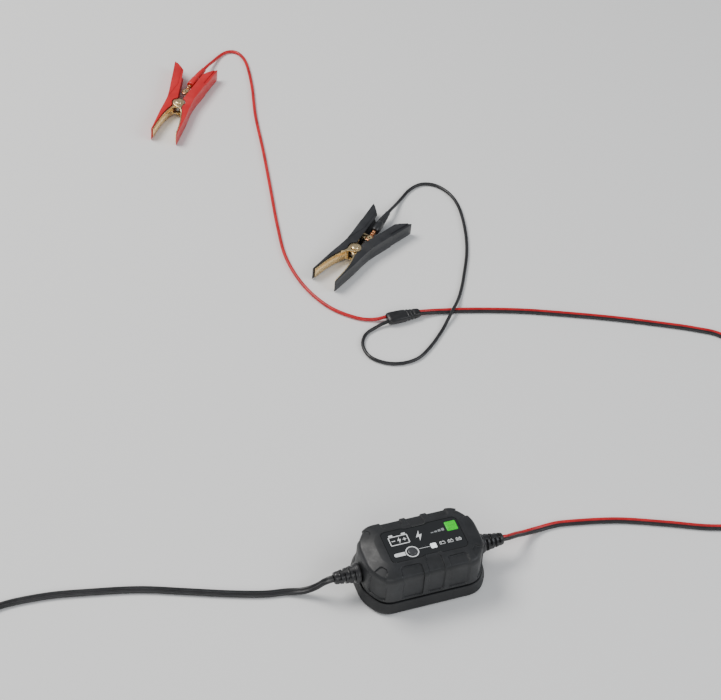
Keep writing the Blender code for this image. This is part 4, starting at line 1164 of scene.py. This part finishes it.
def jaw_frame(name, node, side, ear_levels, with_tab, body, place, turn):
    """Pressed and plated jaw: toothed strip, two ears, and on the fixed half a tab for the wire."""
    back = offset(JAW_CURVE, -STRIP_THICK)
    strip = prism(sided(toothed_line() + back[::-1], side), 1.6 * MM, 12.4 * MM)
    jaw = make(name, strip, MAT["jaw_brass"], None)
    pieces = []
    for low in ear_levels:
        ear = arc(0, 0, 5.7, -150, 112, 48) + [(-7.2, 4.9), (-12.8, 6.9), (-12.6, 6.2), (-8.4, 4.2)]
        pieces.append(prism(sided(ear, side), low * MM, (low + 0.9) * MM))
    shape_with(jaw, "UNION", *pieces)
    holes = [rod(0, CLAMP_DEPTH / MM, 2.3, 40)]
    if with_tab:
        arm = fillet([(2.0, 3.0), (4.5, 1.0), (14, 6.5), (27.4, 11.9), (27.0, 13.9), (13, 10.2)], 0.8, 4)
        wall = [(19.5, 11.0), (27.3, 12.9), (27.0, 14.1), (19.2, 12.3)]
        tab = fillet([(19.9, 0), (21, -3.2), (24, -3.9), (26.6, -2.8), (27.4, 0), (26.8, 13.6), (20.0, 11.9)],
                     1.0, 4)
        shape_with(jaw, "UNION", prism(sided(arm, side), 2.0 * MM, 2.7 * MM),
                   prism(sided(wall, side), 2.1 * MM, 11.9 * MM), prism(sided(tab, side), 6.6 * MM, 7.4 * MM))
        holes.append(rod(5, 9, 1.9, 32, (TERMINAL_S * MM, 0, 0)))
    shape_with(jaw, "DIFFERENCE", *holes)
    soften(jaw, 0.12 * MM, 1, 40)
    settle(jaw, place, turn, body, node)


def clamp_rivet(name, node, place, turn):
    foot = [(0.45, 0.6), (0.4, 2.4), (0.5, 2.8), (0.8, 3.4), (1.0, 3.6), (1.5, 3.6), (1.6, 3.5), (1.6, 2.0)]
    head = [(13.5, 2.0), (13.5, 3.5), (13.6, 3.6), (13.9, 3.6), (14.25, 3.3), (14.6, 2.7), (14.75, 2.3),
            (14.7, 2.1), (14.65, 1.2), (14.7, 0.6)]
    profile = [(z * MM, r * MM) for z, r in foot + head]
    make(name, turned(profile, 48), MAT["jaw_brass"], "charger", (node,), place, turn)


def clamp_spring(name, node, place, turn):
    """Torsion spring, one wire from handle to handle, coiled round the hinge."""
    low, high, turns, radius, wire = 5.2, 8.8, 3, 3.7, 0.65
    foot_s, foot_v = 15.0, 10.8
    leave = math.atan2(foot_v, foot_s) + math.acos(radius / math.hypot(foot_s, foot_v))
    sweep = 2 * math.pi * turns - 2 * leave
    steps = 110
    points = []
    start = (radius * math.cos(-leave), radius * math.sin(-leave))
    for k in range(9):
        share = k / 9
        points.append((foot_s + (start[0] - foot_s) * share, -foot_v + (start[1] + foot_v) * share, low))
    for k in range(steps + 1):
        angle = -leave - sweep * k / steps
        points.append((radius * math.cos(angle), radius * math.sin(angle), low + (high - low) * k / steps))
    for k in range(1, 10):
        share = k / 9
        points.append((start[0] + (foot_s - start[0]) * share, -start[1] + (foot_v + start[1]) * share, high))
    path = [Vector(p) * MM for p in points]
    rings = []
    count = len(path)
    for i, point in enumerate(path):
        ahead = (path[min(i + 1, count - 1)] - path[max(i - 1, 0)]).normalized()
        side = Vector((-ahead.y, ahead.x, 0)).normalized()
        rise = side.cross(ahead)
        rings.append([point + (side * math.cos(a) + rise * math.sin(a)) * wire * MM
                      for a in (2 * math.pi * k / 12 for k in range(12))])
    spring = make(name, loft(rings), MAT["spring_steel"], None, (), place, turn)
    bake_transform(spring)
    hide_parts(node)


def wire_parts(name, fixed, material, place, turn):
    heading = turn + fixed * TERMINAL_TILT
    spot = Matrix.Rotation(turn, 4, "Z") @ Vector((TERMINAL_S * MM, 0, 0)) + Vector(place)
    ring = arc(0, 0, 4.0, 30, 330, 48) + [(4.4, -1.5), (6.2, -1.4), (6.2, 1.4), (4.4, 1.5)]
    plate = make(f"{name}_terminal", prism([(x * MM, y * MM) for x, y in ring], 7.7 * MM, 8.5 * MM),
                 MAT["copper_wire"], None)
    crimp = ((4.6, 1.3), (4.9, 1.7), (5.6, 2.1), (6.4, 2.15), (6.8, 1.85), (8.2, 1.85), (8.6, 2.15),
             (10.1, 2.15), (10.2, 2.0))
    barrel = turned([(x * MM, r * MM) for x, r in crimp], 32, (0, 0, WIRE_LEVEL), "x")
    shape_with(plate, "UNION", barrel)
    shape_with(plate, "DIFFERENCE", rod(5, 11, 1.9, 40))
    soften(plate, 0.1 * MM, 1, 40)
    settle(plate, spot, heading, "charger", f"{name}_ring_terminal")
    eyelet = [(5.7, 1.0), (5.7, 2.5), (5.85, 2.7), (6.15, 2.7), (6.3, 2.5), (6.3, 1.6), (8.8, 1.6),
              (8.8, 2.6), (9.0, 2.7), (9.25, 2.5), (9.4, 1.8), (9.3, 1.2), (9.1, 1.0)]
    loops = []
    for k in range(40):
        angle = 2 * math.pi * k / 40
        loops.append([(r * MM * math.cos(angle), r * MM * math.sin(angle), z * MM) for z, r in eyelet])
    make(f"{name}_terminal_eyelet", ring_body(loops), MAT["jaw_brass"], "charger",
         (f"{name}_terminal_rivet",), spot, heading)
    end = BOOT_END - TERMINAL_S
    boot = [(10.5, 2.8), (10.7, 3.6), (11.4, 4.0), (15, 4.2), (21.6, 4.2), (22.2, 4.0), (23.4, 3.5)]
    for k in range(5):
        x = 24.4 + 2.3 * k
        grow = 0.16 * k
        boot += [(x, 3.3 - grow), (x + 0.3, 3.6 - grow), (x + 1.2, 3.6 - grow), (x + 1.5, 3.2 - grow)]
        boot += [(x + 2.0, 3.2 - grow)]
    boot += [(end - 0.8, 2.5), (end - 0.2, 2.4), (end, 2.0)]
    make(f"{name}_wire_boot", turned([(x * MM, r * MM) for x, r in boot], 40, (0, 0, WIRE_LEVEL), "x"),
         MAT[material], "charger", (f"{name}_boot",), spot, heading)


def clamp(name):
    pivot, turn, fixed = CLAMPS[name]
    place = (pivot.x, pivot.y, 0)
    material = f"clamp_{name}"
    moving_body = f"{name}_jaw"
    clamp_cover(f"{name}_handle_fixed", f"{name}_fixed_handle", fixed, material, "charger", place, turn)
    clamp_cover(f"{name}_handle_moving", f"{name}_moving_handle", -fixed, material, moving_body, place, turn)
    jaw_frame(f"{name}_jaw_fixed", f"{name}_fixed_jaw", fixed, (1.9, 12.3), True, "charger", place, turn)
    jaw_frame(f"{name}_jaw_moving", f"{name}_moving_jaw", -fixed, (3.1, 11.1), False, moving_body, place,
              turn)
    clamp_rivet(f"{name}_pivot_rivet", f"{name}_rivet", place, turn)
    clamp_spring(f"{name}_torsion_spring", f"{name}_spring", place, turn)
    wire_parts(name, fixed, material, place, turn)


# ---------------------------------------------------------------- studio
def area_light(name, place, target, size, power, colour=(1, 1, 1)):
    data = bpy.data.lights.new(name, "AREA")
    data.shape = "RECTANGLE"
    data.size, data.size_y = size
    data.energy = power
    data.color = colour
    light = bpy.data.objects.new(name, data)
    bpy.context.scene.collection.objects.link(light)
    light.location = place
    light.rotation_euler = (Vector(target) - Vector(place)).to_track_quat("-Z", "Y").to_euler()


def studio():
    bm = bmesh.new()
    bmesh.ops.create_grid(bm, x_segments=2, y_segments=2, size=6.0)
    paint = Shader("floor_pale", (0.9, 0.9, 0.89), 0.8)
    paint.bump(paint.noise(3000, 2.0), 0.03, 0.00004)
    floor = make("studio_floor", bm, paint.material, None)
    floor.location.z = -0.0002
    world = bpy.data.worlds.new("world")
    bpy.context.scene.world = world
    world.use_nodes = True
    world.node_tree.nodes["Background"].inputs["Color"].default_value = (0.82, 0.85, 0.9, 1)
    world.node_tree.nodes["Background"].inputs["Strength"].default_value = 0.38
    area_light("key", (-0.9, 1.1, 1.7), (0, 0.15, 0), (1.2, 0.9), 36, (1.0, 0.98, 0.95))
    area_light("fill", (1.3, -0.6, 1.2), (0.05, 0.2, 0), (1.4, 1.0), 12, (0.93, 0.96, 1.0))
    area_light("front", (-0.5, -1.3, 0.9), (0, 0.1, 0), (1.0, 0.6), 7)


add_camera()
plug_body = plug()
mains_tie = coil_tie("mains_strap", "mains_coil_tie", "mains_cord_coil", math.radians(200))
dc_tie = coil_tie("dc_strap", "dc_coil_tie", "dc_lead_coil", math.radians(120))
splitter = lead_splitter()
mains_cord()
dc_lead()
clamp_wire("wire_red", "red_wire", RED_WIRE, "cord_red")
clamp_wire("wire_black", "black_wire", BLACK_WIRE, "cord_black")

case_base()
case_top()
control_panel()
panel_print()
mode_button()
light_pipe("charge_lens", "charge_light", "green_light")
light_pipe("mode_lens", "mode_light", "white_light")
strain_relief("relief_mains", "mains_strain_relief", -1)
strain_relief("relief_dc", "dc_strain_relief", 1)
for clamp_name in CLAMPS:
    clamp(clamp_name)

SLOT_OF = {entry["node"]: entry["material_slot"] for entry in frame["record"]["subparts"]}
for node_name, node in NODES.items():
    for index in range(len(node.material_slots)):
        node.material_slots[index].material = MAT[SLOT_OF[node_name]]
    if not node.hide_render:
        node.data.shade_smooth()
        node.data.set_sharp_from_angle(angle=math.radians(32))

studio()
